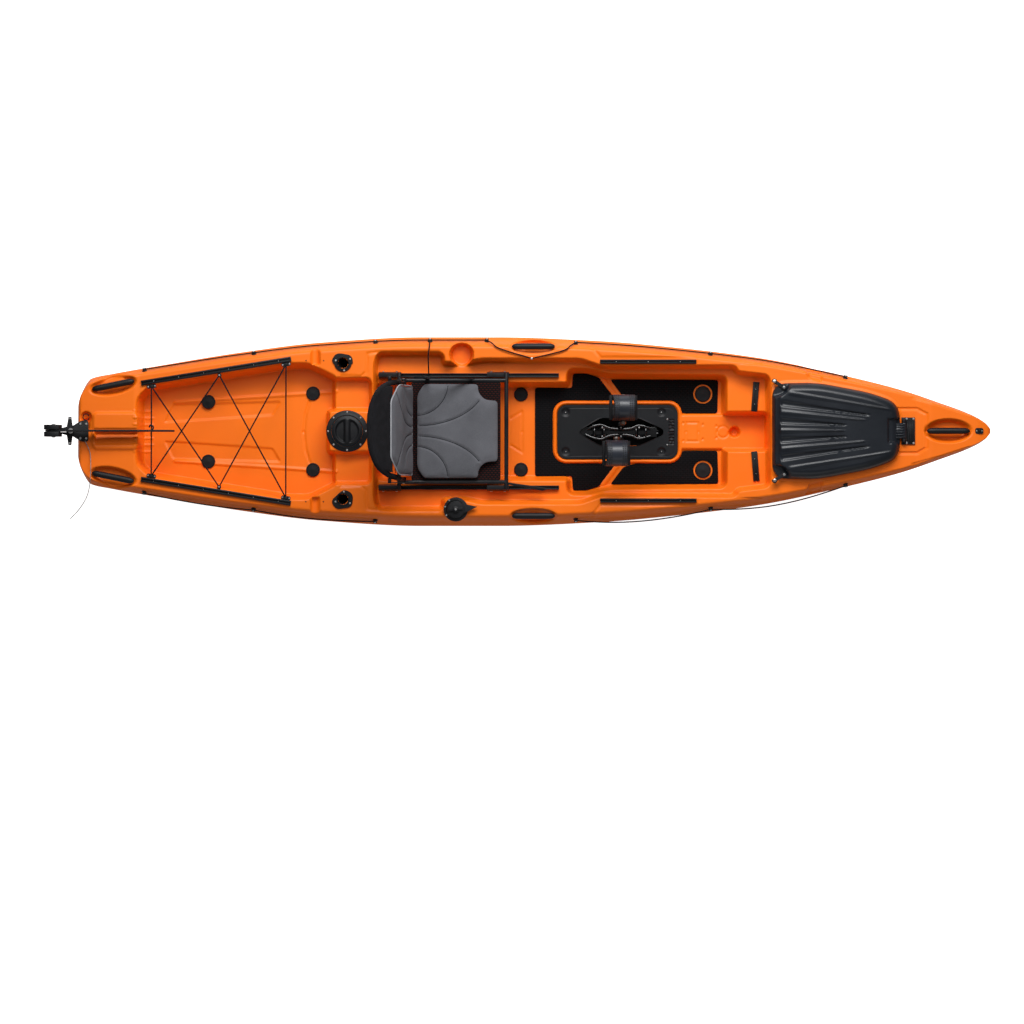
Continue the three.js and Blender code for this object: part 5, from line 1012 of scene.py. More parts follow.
def lid_top(x, y):
    deep = depth_inside(lid_outline, x, y) / lid_shoulder
    dome = np.interp(deep, [0, 0.1, 0.3, 0.55, 0.8, 1.0], [0.2, 0.42, 0.68, 0.86, 0.96, 1])
    away = (x - 1.3) / 0.34
    z = lid_spring + lid_rise * dome * (1 - 0.28 * away**4 - 0.05 * away**2)
    for side in (1, -1):
        z += ridge(x, y, (1.12, side * 0.168), (1.6, side * 0.09), 0.011, 0.0035)
        z += ridge(x, y, (1.085, side * 0.083), (1.47, side * 0.046), 0.012, 0.0045)
        z += ridge(x, y, (1.085, side * 0.122), (1.49, side * 0.068), 0.015, -0.0075)
        z += ridge(x, y, (1.085, side * 0.043), (1.385, side * 0.025), 0.015, -0.0075)
    z += ridge(x, y, (1.08, 0), (1.38, 0), 0.011, 0.0045)
    z -= 0.004 * eased((1.092 - x) / 0.008) * eased((deep - 0.35) / 0.2)
    hinge = eased((x - 1.562) / 0.008) * eased((0.056 - np.abs(y)) / 0.006)
    z -= 0.012 * hinge * eased(deep / 0.3)
    u, v = (x - 1.066) * 0.85, np.abs(y) - 0.214
    corner = eased((0.062 - np.hypot(u, v * 0.9)) / 0.012)
    return z * (1 - corner) + np.minimum(z, 0.3068) * corner


def lid_ring(edge, share, under=0.0):
    """A ring of the lid's skin, at a share of the way from an edge to the middle."""
    ring = np.array(edge) * (1 - share) + np.array(lid_middle) * share
    return list(zip(ring[:, 0], ring[:, 1], lid_top(ring[:, 0], ring[:, 1]) - under))


lid_lip, lid_thick, lid_near_middle = 0.007, 0.009, 0.9995
lid_inner_edge = toward(lid_edge, *lid_middle, lid_lip)
lid_rings = [at_height(lid_inner_edge, lid_spring), at_height(lid_edge, lid_spring), at_height(lid_edge, 0.2975)]
lid_rings += [lid_ring(lid_edge, share)
              for share in [*np.linspace(0, 0.22, 22)[1:], *np.linspace(0.232, 0.985, 62), lid_near_middle]]
lid_rings += [lid_ring(lid_inner_edge, share, lid_thick) for share in [lid_near_middle, *np.linspace(0.97, 0.04, 32)]]
front_lid = ringed("front_lid_moulding", lid_rings, lid_black, True, 50)
knuckle = [(1.64, y, 0.3029) for y in np.linspace(-0.036, 0.036, 9)]
lid_arm = tube("lid_knuckle", knuckle, 0.0095, lid_black.material, 32)
hinge_leaf = slab("lid_leaf", oblong(1.6, 0, 0.085, 0.07, 0.006), 0.3035, 0.3115, lid_black.material, True)
hinge_ribs = [tube("rib", [(1.562 + 0.01 * k, y, 0.3122) for k in range(9)], 0.0024, lid_black.material, 8)
              for y in np.linspace(-0.028, 0.028, 6)]
latch_x, latch_y = 1.10808, 0.193
pin_profile = [(0, -0.002), (0.0049, -0.002), (0.0049, 0.0094), (0, 0.0094)]
pins = [turned("pin", pin_profile, lid_black, latch_x, side * latch_y, 0.306, 24) for side in (1, -1)]
settle(joined("front_lid", front_lid, lid_arm, hinge_leaf, *hinge_ribs, *pins), "front_lid", "black", "front_hatch_lid")
gasket_rings = [at_height(toward(lid_edge, *lid_middle, by), z)
                for by, z in ((0.009, 0.2896), (0.0125, 0.2896), (0.0125, 0.2935), (0.009, 0.2935))]
settle(ringed("front_lid_gasket", gasket_rings, rubber, True), "front_lid", "rubber")

# The lid's hinge and its two latches: ribbed black plates bolted to the bow deck, and rubber hooks that
# turn on the lid and catch the steel studs beside the bay.
settle(mended("lid_hinge", "front_hatch_hinge", black, 0.0012), "kayak", "black", "front_hatch_hinge")
hinge_bars = [tube("bar", [(x, y, 0.293) for y in (-0.05, 0, 0.05)], 0.0022, black.material, 12, 0.8)
              for x in (1.656, 1.664, 1.672, 1.68)]
settle(joined("lid_hinge_ribs", *hinge_bars), "kayak", "black")
hinge_top = deck_at(1.69) + 0.0054
screws("hinge_bolts", "kayak", [(x, y, hinge_top) for x in (1.653, 1.683) for y in (0.0535, -0.0535)], 0.0052)
latch_rubber = Look("latch_rubber", Roughness=0.5, Specular_IOR_Level=0.3)
latch_place = latch_rubber.place()
latch_rubber.feed(
    Base_Color=latch_rubber.mix(latch_rubber.noise(40.0, 3.0, latch_place), linear(13, 14, 17), linear(30, 32, 36)),
    Roughness=0.4 + latch_rubber.noise(25.0, 3.0, latch_place) * 0.25,
    Normal=latch_rubber.bump(latch_rubber.noise(900.0, 2.0, latch_place), 0.0002))
for side, name in both("latch"):
    settle(mended(name + "_hook", name, latch_rubber, 0.0014), name, "rubber", name)
    screws(name + "_bolt", name, [(latch_x, side * latch_y, 0.3149)], 0.0062)
stud_profile = [(0, -0.016), (0.0046, -0.016), (0.0046, 0.045), (0.0075, 0.046), (0.008, 0.048), (0.007, 0.0515),
                (0.004, 0.0525), (0, 0.0525)]
settle(repeated("latch_studs", turned("stud", stud_profile, bright, count=24), [
    ((1.06596, side * 0.219, 0.27), (0, 0, 0), 1) for side in (1, -1)], bright), "kayak", "steel")

# The drive's deck plate: a thick black moulding dropped into its rim, with a long six-sided opening for the
# mechanism, four round dimples and a slotted finger bar forward.
plate_low, plate_top = 0.1054, 0.1194
plate_middle_x, opening_middle = 0.378067, 0.39609
opening_length, opening_width = 0.37284, 0.12398
half_opening = [(-0.5, 0.06), (-0.25, 0.5), (0.2, 0.5), (0.5, 0.1)]
opening_corners = [(opening_middle + u * opening_length, v * opening_width)
                   for u, v in half_opening + [(u, -v) for u, v in half_opening[::-1]]]
opening = by_angle(rounded(opening_corners, 0.014), opening_middle, 0, 480)
plate_edge = by_angle(oblong(plate_middle_x, 0, plate_length - 0.003, plate_width - 0.003, plate_corner),
                      opening_middle, 0, 480)
dimple_places, dimple_deep, slot_x = ((0.1457, 0.088), (0.5754, 0.088)), 0.0048, 0.6204


def plate_face(ring, level):
    """A ring of the plate's upper face, with its dimples, its ribbed finger slot and its fine border."""
    x, y = np.array(ring).T
    z = np.full(len(x), level)
    for cx, cy in dimple_places:
        far = np.hypot(x - cx, np.abs(y) - cy)
        z -= dimple_deep * eased((0.0205 - far) / 0.009)
    slot = eased((0.0125 - np.abs(x - slot_x)) / 0.003) * eased((0.056 - np.abs(y)) / 0.003)
    z -= 0.006 * slot * (0.5 + 0.5 * np.cos(2 * math.pi * y / 0.0138))
    rim = np.abs(depth_inside(oblong(plate_middle_x, 0, plate_length - 0.03, plate_width - 0.03, 0.03), x, y))
    z -= 0.0008 * eased((0.0016 - rim) / 0.001)
    return list(zip(x, y, z))


plate_rings = [at_height(opening, plate_low), at_height(plate_edge, plate_low),
               at_height(plate_edge, plate_top - 0.003)]
for share in [0.006, *np.linspace(0.015, 0.972, 64)]:
    plate_rings.append(plate_face(plate_edge * (1 - share) + opening * share, plate_top))
plate_rings += [plate_face(opening + (plate_edge - opening) * 0.012, plate_top + 0.0016),
                at_height(opening, plate_top + 0.0004)]
plate_look = clouded("satin_black_plastic", (7, 9, 12), (16, 19, 24), (5.0, 4.0), (0.34, 0.22),
                     (1000.0, 2.0, 0.0002), 0.6, Specular_IOR_Level=0.3)
settle(ringed("drive_deck_plate", plate_rings, plate_look, True, 55), "kayak", "black", "drive_plate")
screws("drive_plate_screws", "kayak", [(x, side * y, plate_top - dimple_deep) for x, y in dimple_places
                                       for side in (1, -1)], 0.0026)
screws("finger_bar_screws", "kayak", [(0.6014, y, plate_top - 0.0002) for y in (0.0575, -0.0575)], 0.0042)

# The spine of the drive: a glossy black casting in the well with the cranks' axle across it, guide
# rails over its top and three lugs below that hold the fins' shaft.
gloss = Look("glossy_black_casting", Roughness=0.12, Coat_Weight=0.5)
gloss_place = gloss.place()
gloss.feed(
    Base_Color=gloss.mix(gloss.noise(20.0, 4.0, gloss_place), linear(5, 5, 6), linear(16, 17, 20)),
    Roughness=0.08 + gloss.noise(45.0, 4.0, gloss_place) * 0.16)
settle(mended("drive_casting", "drive_spine", gloss, 0.003), "kayak", "black", "drive_spine")


def skirt_outline(thick=0.0):
    """The outline of the black skirt that hides the well's walls, at a depth into its thickness."""
    length, width = (size - 0.004 - 2 * thick for size in well_size)
    return oblong(*well_middle, length, width, well_corner)


skirt = slab("drive_skirt", skirt_outline(), 0.0036, 0.0062, black.material)
wall_rings = [at_height(by_angle(skirt_outline(thick), *well_middle, 160), z)
              for thick, z in ((0, 0.006), (0.0022, 0.006), (0.0022, 0.1), (0, 0.1))]
settle(joined("drive_skirt", skirt, ringed("wall", wall_rings, black, True)), "kayak", "black")
guide_parts = []
for side in (1, -1):
    run = smooth_path([(x, side * y, z) for x, y, z in (
        (0.225, 0.006, 0.098), (0.27, 0.026, 0.108), (0.305, 0.032, 0.106), (0.345, 0.0165, 0.107),
        (0.394, 0.0125, 0.108), (0.44, 0.0165, 0.107), (0.472, 0.029, 0.106), (0.52, 0.02, 0.102),
        (0.565, 0.004, 0.096))], 8)
    guide_parts.append(tube("guide", run, 0.0052, gloss.material, 14, 0.7))
for x in (0.275, 0.318, 0.462, 0.505):
    cross = [(x, -0.026, 0.104), (x, 0, 0.107), (x, 0.026, 0.104)]
    guide_parts.append(tube("cross", cross, 0.004, gloss.material, 12))
settle(joined("drive_guides", *guide_parts), "kayak", "black")
screws("drive_nuts", "kayak", [(0.394, side * 0.0205, 0.1105) for side in (1, -1)]
       + [(x, side * 0.02, 0.1085) for x in (0.31, 0.475) for side in (1, -1)], 0.0045)

# Cranks and pedals: brushed steel arms with a black sleeve over the lower half, and black pedals, each
# with a broad perforated strap that arches over the forefoot.
crank_steel = Look("brushed_crank_metal", Roughness=0.4, Metallic=1.0)
crank_place = crank_steel.place()
crank_height = crank_steel.node("ShaderNodeSeparateXYZ", {}, crank_place, out=2)
sleeved = crank_steel.falling(crank_height, 0.222, 0.224)
brushing = crank_steel.noise(60.0, 3.0, crank_steel.node("ShaderNodeMapping", {}, crank_place, Scale=(14.0, 14.0, 0.8)))
bare_metal = crank_steel.mix(brushing, linear(112, 104, 98), linear(168, 160, 152))
crank_steel.feed(
    Base_Color=crank_steel.mix(sleeved, bare_metal, linear(24, 25, 28)), Metallic=1 - sleeved,
    Roughness=0.28 + brushing * 0.2 + sleeved * 0.1, Normal=crank_steel.bump(brushing, 0.0002, 0.5))


def band(name, path, across, half_width, thick, look):
    """A flat strap along a path, lying across the given direction, with a width at each point."""
    path = np.array(path, float)
    run = np.gradient(path, axis=0)
    run /= np.linalg.norm(run, axis=1)[:, None]
    across = np.broadcast_to(np.array(across, float), path.shape)
    across = across - run * np.sum(across * run, axis=1)[:, None]
    across /= np.linalg.norm(across, axis=1)[:, None]
    out = np.cross(run, across)
    widths = np.broadcast_to(half_width, (len(path),))
    length = np.r_[0, np.cumsum(np.linalg.norm(np.diff(path, axis=0), axis=1))]
    shape = [(1, 0.25), (0.97, 0.5), (0.5, 0.5), (0, 0.5), (-0.5, 0.5), (-0.97, 0.5), (-1, 0.25),
             (-1, -0.25), (-0.97, -0.5), (0, -0.5), (0.97, -0.5), (1, -0.25)]
    rings, uv = [], []
    for p, a, n, w, far in zip(path, across, out, widths, length):
        rings.append([tuple(p + a * w * u + n * thick * v) for u, v in shape])
        uv += [(w * u, far) for u, v in shape]
    return through(name, rings, look.material, uv=uv, sharp=50)


strap_look = Look("perforated_rubber", Roughness=0.4)
strap_place = strap_look.place("UV")
strap_across = strap_look.node("ShaderNodeSeparateXYZ", {}, strap_place)
glossy = strap_look.falling(strap_across.math("ABSOLUTE"), 0.0205, 0.0215)
holes = strap_look.node("ShaderNodeTexVoronoi", {}, strap_place, Scale=120.0, Randomness=0.0)
pierced = strap_look.falling(holes, 0.2, 0.34) * (1 - glossy)
strap_clouds = strap_look.noise(20.0, 3.0)
strap_solid = strap_look.mix(strap_clouds, linear(24, 27, 34), linear(44, 48, 58))
# The perforations are painted near black: painted shade seen through the holes, which are not in the mesh.
strap_look.feed(
    Base_Color=strap_look.mix(pierced, strap_solid, linear(3, 3, 4)),
    Roughness=0.42 + strap_clouds * 0.15 + pierced * 0.3 - glossy * 0.12,
    Normal=strap_look.bump(1 - pierced, 0.0015))
axle_x, axle_z = 0.394065, 0.052
tread_lines = (-0.05, -0.036, -0.018, 0.018, 0.036, 0.05)
for side, name, x, z in ((1, "port", 0.394065, 0.398), (-1, "starboard", 0.362969, 0.396599)):
    crank, pedal = "crank_" + name, "pedal_" + name
    settle(mended("crank_arm_" + name, crank, crank_steel, 0.0016), crank, "steel", crank)
    settle(mended("pedal_body_" + name, pedal, black, 0.0016), pedal, "black", pedal)
    arch, widths = [], []
    for t in np.linspace(0.02, math.pi - 0.02, 41):
        arch.append((x + 0.004 * math.sin(t), side * (0.1 - 0.0555 * math.cos(t)), z + 0.0862 * math.sin(t)**0.8))
        widths.append(0.05 - 0.004 * math.sin(t)**2)
    settle(band("pedal_strap_" + name, arch, (1, 0, 0), widths, 0.0035, strap_look), pedal, "black")
    for k, end in ((-0.5, "_aft"), (0.5, "_fore")):
        hem = [(px + k * 1.94 * w, py, pz + 0.0008) for (px, py, pz), w in zip(arch, widths)]
        settle(tube("pedal_strap_hem_" + name + end, hem, 0.0021, rubber.material, 10), pedal, "rubber")
    treads = [tube("tread", [(x + u, side * y, z + 0.0094) for y in (0.052, 0.1, 0.148)], 0.0024, rubber.material, 10)
              for u in tread_lines]
    settle(joined("pedal_treads_" + name, *treads), pedal, "rubber")
    screws("crank_bolt_" + name, crank, [((axle_x, side * 0.0424, axle_z), outward(side))], 0.008)

# Fins: two soft blades under the hull, stiff along the front edge, each on a hub that turns on the shaft
# and held by a screw and washer near its root.
fin_chord, fin_root, fin_span, fin_thick = 0.13496, -0.0212, 0.279, 0.011
fin_aft_edge = [(0, 0), (0.3, -0.08), (0.6, -0.17), (0.88, -0.25), (0.97, -0.22), (1, -0.14)]
fin_fore_edge = [(0, 1), (0.3, 0.77), (0.6, 0.54), (0.88, 0.33), (0.97, 0.22), (1, 0.12)]
fin_look = clouded("flexible_fin", (16, 17, 19), (34, 36, 40), (18.0, 4.0), (0.38, 0.2), (500.0, 2.0, 0.0002),
                   Specular_IOR_Level=0.3)
for name, start in (("fin_aft", 0.245909), ("fin_fore", 0.397891)):
    rings = []
    for down in np.r_[0, np.linspace(0.02, 0.9, 26), np.linspace(0.915, 1, 10)]:
        aft, fore = (float(fair(fin_edge, down)) for fin_edge in (fin_aft_edge, fin_fore_edge))
        thick = fin_thick * (1 - 0.55 * down)
        chord = (fore - aft) * fin_chord
        ring = []
        for a in np.linspace(0, 2 * math.pi, 36, endpoint=False):
            u = 0.5 - 0.5 * math.cos(a)
            full = min(1, (u / 0.6) ** 0.8 if u < 0.6 else ((1 - u) / 0.4) ** 0.5)
            half = thick * 0.6 * full * (1 if a < math.pi else -1)
            ring.append((start + aft * fin_chord + u * chord, half, fin_root - down * fin_span))
        rings.append(ring)
    blade = ringed(name + "_blade", rings, fin_look, sharp=60)
    hub_line = [(start + t, 0, -0.014) for t in (0, 0.002, 0.02, 0.07, 0.12, 0.1365, 0.139)]
    hub = tube("hub", hub_line, 0.0118, fin_look.material, 32)
    rib_line = [(start + 0.128 - 0.036 * t - 0.05 * t * t, 0, -0.026 - 0.2 * t) for t in np.linspace(0, 1, 9)]
    rib = tube("rib", rib_line, 0.0052, fin_look.material, 14)
    settle(joined(name + "_moulding", blade, hub, rib), name, "rubber", name)
    root_screws = [((start + 0.0675, side * 0.0056, -0.038), outward(side)) for side in (1, -1)]
    screws(name + "_screw", name, root_screws, 0.0085)

# The seat's frame: black aluminium rails on the shelf, a sliding frame of round tube on four shoes, and the
# folding hoop of the back with a fabric sleeve drawn over it.
frame_black = clouded("anodised_black_tube", (13, 14, 16), (30, 31, 35), (30.0, 4.0), (0.26, 0.24),
                      Specular_IOR_Level=0.3)
for _, name in both("seat_rail"):
    settle(mended(name + "_extrusion", name, frame_black, 0.0009), "kayak", "black", name)
settle(mended("seat_frame_tubes", "seat_frame", frame_black, 0.0018, 40), "seat", "frame", "seat_frame")
settle(mended("seat_back_hoop", "seat_back_frame", frame_black, 0.0008, 60), "seat_back", "frame", "seat_back_frame")
back_hinge, back_hinge_height, back_from = -0.5751, 0.28807, 0.205
shoe_places = [(x + u, 0.2655, 0.219) for x in (-0.638, -0.157) for u in (-0.03, 0.03)]
screws("seat_shoe_bolts", "seat", [((x, side * y, z), outward(side))
                                   for x, y, z in [*shoe_places, (back_hinge, 0.2305, back_hinge_height)]
                                   for side in (1, -1)], 0.006)
back_rises = [(0, 1.034, 0), (-0.013, 1.034, 0.102), (-0.03, 1.005, 0.232), (-0.057, 0.956, 0.312),
              (-0.097, 0.78, 0.38), (-0.125, 0.439, 0.408), (-0.133, 0, 0.414)]
hoop_half = [(back_hinge + x, y * back_from, back_hinge_height + z) for x, y, z in back_rises]
hoop = smooth_path(hoop_half + [(x, -y, z) for x, y, z in hoop_half[-2::-1]], 12)


def weave(look, place, scale, depth, rise=1.0):
    """The over and under of a plain weave as a height, from two waves that cross."""
    waves = [look.node("ShaderNodeTexWave", {"wave_type": "BANDS", "bands_direction": way}, place, Scale=scale,
                       Distortion=1.5, Detail=1.0) for way in ("X", "Y")]
    return look.bump(waves[0] * waves[1], depth, rise)


sleeve_look = Look("black_ripstop", Roughness=0.85, Specular_IOR_Level=0.15)
sleeve_place = sleeve_look.place()
sleeve_look.feed(
    Base_Color=sleeve_look.mix(sleeve_look.noise(30.0, 4.0, sleeve_place), linear(14, 14, 16), linear(36, 36, 40)),
    Normal=weave(sleeve_look, sleeve_place, 260.0, 0.0008))
sleeve = [p for p in hoop if p[2] > 0.42]
settle(tube("hoop_sleeve", sleeve, 0.0122, sleeve_look.material, 20), "seat_back", "fabric")


# The seat's pads: foam in a heathered grey cover, blown up inside it by a cloth simulation, then sewn with
# quarter-round channels about the corners; the seat rests on a web sling and the back on its hoop.
def points_of(mesh):
    flat = np.empty(3 * len(mesh.vertices))
    mesh.vertices.foreach_get("co", flat)
    return flat.reshape(-1, 3)


def stuffed(name, outline, low, high, look, cap):
    """A flat pad over an outline, filled until its cover is tight, with a limit to how far it swells."""
    piece = slab(name, outline, low, high, look.material, True)
    remesh = piece.modifiers.new("even", "REMESH")
    remesh.mode, remesh.voxel_size, remesh.use_smooth_shade = "VOXEL", 0.005, True
    soften = piece.modifiers.new("soften", "SMOOTH")
    soften.factor, soften.iterations = 0.5, 6
    finished(piece)
    cloth = piece.modifiers.new("cover", "CLOTH")
    cloth.settings.quality = 5
    cloth.settings.mass = 0.3
    cloth.settings.use_pressure = True
    cloth.settings.uniform_pressure_force = 4
    cloth.settings.effector_weights.gravity = 0
    cloth.point_cache.frame_start, cloth.point_cache.frame_end = 1, 20
    before = points_of(piece.data)
    for step in range(1, 21):
        bpy.context.scene.frame_set(step)
    blown = piece.evaluated_get(bpy.context.evaluated_depsgraph_get())
    moved = points_of(blown.data) - before
    far = np.linalg.norm(moved, axis=1)[:, None]
    piece.modifiers.remove(cloth)
    piece.data.vertices.foreach_set("co", (before + moved * np.minimum(1, cap / np.maximum(far, 1e-9))).ravel())
    bpy.context.scene.frame_set(1)
    finer = piece.modifiers.new("finer", "SUBSURF")
    finer.levels = finer.render_levels = 1
    finished(piece)
    piece.data.polygons.foreach_set("use_smooth", [True] * len(piece.data.polygons))
    return piece


def seams(pad, lines, thread):
    """Draws the cover in along sewn lines, and lays a doubled thread in each channel."""
    p = points_of(pad.data)
    top = p[:, 2] > np.median(p[:, 2])
    p[:, 2] -= np.where(top, 0.0042 * np.exp(-(from_lines(lines, p[:, 0], p[:, 1]) / 0.0058)**2), 0)
    pad.data.vertices.foreach_set("co", p.ravel())
    cover = p[top]
    made = []
    for line in lines:
        path = [(x, y, cover[np.argmin((cover[:, 0] - x)**2 + (cover[:, 1] - y)**2), 2] + 0.0002) for x, y in line]
        path = np.array(path)
        path[1:-1, 2] = (path[:-2, 2] + path[1:-1, 2] + path[2:, 2]) / 3
        made.append(tube("thread", path, 0.0013, thread.material, 8))
    return joined(pad.name + "_seams", *made)


def arc(x, y, across_x, across_y, turn_from=0.06, turn_to=0.5 * math.pi - 0.05, count=40):
    return [(x + across_x * math.cos(a), y + across_y * math.sin(a)) for a in np.linspace(turn_from, turn_to, count)]


cover_look = Look("heathered_grey_fabric", Roughness=0.92, Specular_IOR_Level=0.2)
cover_place = cover_look.place()
# The cover's grey is half the yarn's fine heather and half coarse clouds of painted shade and light that stand for
# folds.
painted_fold_shade = cover_look.noise(9.0, 4.0, cover_place)
heather = cover_look.noise(420.0, 3.0, cover_place)
cover_look.feed(
    Base_Color=cover_look.mix(painted_fold_shade * 0.5 + heather * 0.5, linear(58, 58, 62), linear(122, 123, 129)),
    Normal=weave(cover_look, cover_place, 240.0, 0.0006, 0.8))
thread_look = clouded("charcoal_thread", (16, 16, 18), (40, 40, 43), (900.0, 2.0), Roughness=0.9,
                      Specular_IOR_Level=0.1)
piping_look = clouded("pale_piping", (120, 121, 126), (176, 177, 182), (500.0, 2.0), Roughness=0.8)
seat_from, seat_to, seat_half = -0.5205, -0.1525, 0.2145
half_seat = [(seat_from, seat_half - 0.05), (seat_from + 0.03, seat_half - 0.004), (seat_from + 0.05, seat_half),
             (seat_to - 0.092, seat_half), (seat_to - 0.088, seat_half - 0.04), (seat_to - 0.06, seat_half - 0.072),
             (seat_to, seat_half - 0.078)]
seat_outline = rounded(half_seat + [(x, -y) for x, y in half_seat[::-1]], 0.02, 6)
seat_pad = stuffed("seat_cushion", seat_outline, 0.265, 0.281, cover_look, 0.005)
seat_lines = [arc(seat_from, side * seat_half, reach_x, -side * reach_y) for side in (1, -1)
              for reach_x, reach_y in ((0.142, 0.146), (0.308, 0.192))]
seat_lines = [[(x, y) for x, y in line if abs(y) < seat_half - 0.01 and not (x > seat_to - 0.1 and abs(y) > 0.135)]
              for line in seat_lines]
seat_threads = seams(seat_pad, seat_lines, thread_look)
for piece in (seat_pad, seat_threads):
    p = points_of(piece.data)
    u = 2 * (p[:, 0] - seat_from) / (seat_to - seat_from) - 1
    v = p[:, 1] / seat_half
    crown = np.clip(1 - u**4, 0, 1) * np.clip(1 - v**4, 0, 1)
    p[:, 2] += 0.009 * crown * (p[:, 2] > 0.272)
    piece.data.vertices.foreach_set("co", p.ravel())
settle(seat_pad, "seat", "fabric", "seat_pad")
settle(seat_threads, "seat", "fabric")
for piece in (seat_pad, seat_threads):
    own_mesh(piece)


def bent_back(piece):
    """Takes a flat pad, drawn as across, up and thick, onto the leaning hoop of the back."""
    p = points_of(piece.data)
    lean = fair([(z, x) for x, _, z in hoop_half[:5]], p[:, 1])
    lean = lean + 0.017 * np.exp(-((p[:, 1] - 0.325) / 0.075)**2)
    placed_points = np.stack([lean + 0.0105 + p[:, 2], p[:, 0], p[:, 1]], 1)
    piece.data.vertices.foreach_set("co", placed_points.ravel())
    piece.data.update()


back_outline = rounded([(-0.2, 0.316), (0.2, 0.316), (0.199, 0.53), (0.19, 0.562), (0.128, 0.624), (-0.128, 0.624),
                        (-0.19, 0.562), (-0.199, 0.53)], 0.02, 6)
back_pad = stuffed("back_cushion", back_outline, 0.0055, 0.018, cover_look, 0.005)
back_lines = [arc(side * 0.2, 0.316, -side * reach_y, reach_z) for side in (1, -1)
              for reach_y, reach_z in ((0.14, 0.15), (0.186, 0.265))]
back_threads = seams(back_pad, back_lines, thread_look)
edge = np.array(back_outline)
inward = np.array([0, 0.47])
edge_path = [(x, y, 0.0145) for x, y in (edge - inward) * 0.985 + inward]
piping = tube("back_piping", edge_path + edge_path[:1], 0.0027, piping_look.material, 10)
for piece in (back_pad, back_threads, piping):
    bent_back(piece)
settle(back_pad, "seat_back", "fabric", "seat_back_pad")
settle(back_threads, "seat_back", "fabric")
settle(piping, "seat_back", "fabric")
rows, columns, head_half, low_z = 12, 40, 0.186, 0.603
head_rings = []
for v in np.linspace(-1, 1, columns):
    y = head_half * v
    high_x, _, high_z = hoop[np.argmin(np.where(hoop[:, 2] > 0.6, np.abs(hoop[:, 1] - y), 9))]
    low_x = float(fair([(z, x) for x, _, z in hoop_half[:5]], np.array(low_z))) + 0.018
    front, behind = [], []
    for t in np.linspace(0, 1, rows):
        sag = 0.012 * math.sin(math.pi * t)
        for face, x_off, top_off, z_off in ((front, 0.004, 0.011, 0), (behind, -0.004, 0.005, 0.006)):
            face.append((low_x + (high_x - low_x) * t + sag + x_off, y,
                         low_z + (high_z + top_off - low_z) * t - sag * 0.4 - z_off))
    head_rings.append(front + behind[::-1])
settle(ringed("back_head_panel", head_rings, sleeve_look, sharp=50), "seat_back", "fabric")
sling_look = Look("red_brown_webbing", Roughness=0.85, Specular_IOR_Level=0.2)
sling_place = sling_look.place()
slats = sling_look.node("ShaderNodeTexBrick", {"offset": 0.5}, sling_place, Scale=1.0, Mortar_Size=0.0035,
                        Mortar_Smooth=0.3, Brick_Width=0.016, Row_Height=0.009, out=1)
sling_look.feed(
    Base_Color=sling_look.mix(slats, linear(70, 22, 18), linear(10, 9, 10)),
    Normal=weave(sling_look, sling_place, 300.0, 0.0006))
sling = slab("seat_sling", oblong(-0.3435, 0, 0.395, 0.436, 0.008), 0.2562, 0.2584, sling_look.material)
settle(sling, "seat", "webbing")

# The back's side straps: flat black webbing down each side of the seat, with a buckle to tighten
# it and a short stay that keeps it off the seat.
strap_web = Look("side_webbing", Roughness=0.85, Specular_IOR_Level=0.2)
ribs_along = strap_web.node("ShaderNodeTexWave", {"wave_type": "BANDS", "bands_direction": "Y"},
                            strap_web.place("UV"), Scale=150.0)
# The webbing is painted lighter on its raised ribs and darker between them: painted highlight and shade of the ribs.
strap_web.feed(Base_Color=strap_web.mix(ribs_along, linear(12, 12, 14), linear(46, 46, 51)),
               Normal=strap_web.bump(ribs_along, 0.0006))
strap_y, strap_top, strap_foot = 0.2299, (-0.6261, 0.574), (-0.268, 0.272)
for side, name in both("side_strap"):
    for ending, (x0, z0), (x1, z1), (x2, z2), half_width in (
            ("_webbing", strap_top, strap_foot, strap_top, 0.0118),
            ("_prop", (-0.482, 0.452), (-0.47, 0.262), (-0.4901, 0.5803), 0.0094)):
        run = np.array([x1 - x0, z1 - z0]) / math.hypot(x1 - x0, z1 - z0)
        path = [(x0 + (x1 - x0) * t, side * (strap_y + 0.0006 * math.sin(9 * t)), z0 + (z1 - z0) * t)
                for t in np.linspace(0, 1, 24)]
        web = band(name + ending, path, (-run[1], 0, run[0]), half_width, 0.0028, strap_web)
        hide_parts(name)
        side * strap_y
        side * strap_y
        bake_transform(web)
    (x0, z0), (x1, z1) = strap_top, strap_foot
    x, z = x0 + 0.31 * 0.358, z0 - 0.31 * 0.302
    buckle_line = [(x, side * strap_y, z), (x + 0.015, side * strap_y, z - 0.01265),
                   (x + 0.03, side * strap_y, z - 0.0253)]
    buckle = band("buckle", buckle_line, (0.645, 0, 0.764), 0.0158, 0.0085, black)
    toggle = tube("toggle", [(x0, side * y, z0) for y in (0.211, 0.222, 0.234)], 0.0078, black.material, 20)
    buckles = joined(name + "_buckle", buckle, toggle)
    side * strap_y
    side * strap_y
    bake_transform(buckles)

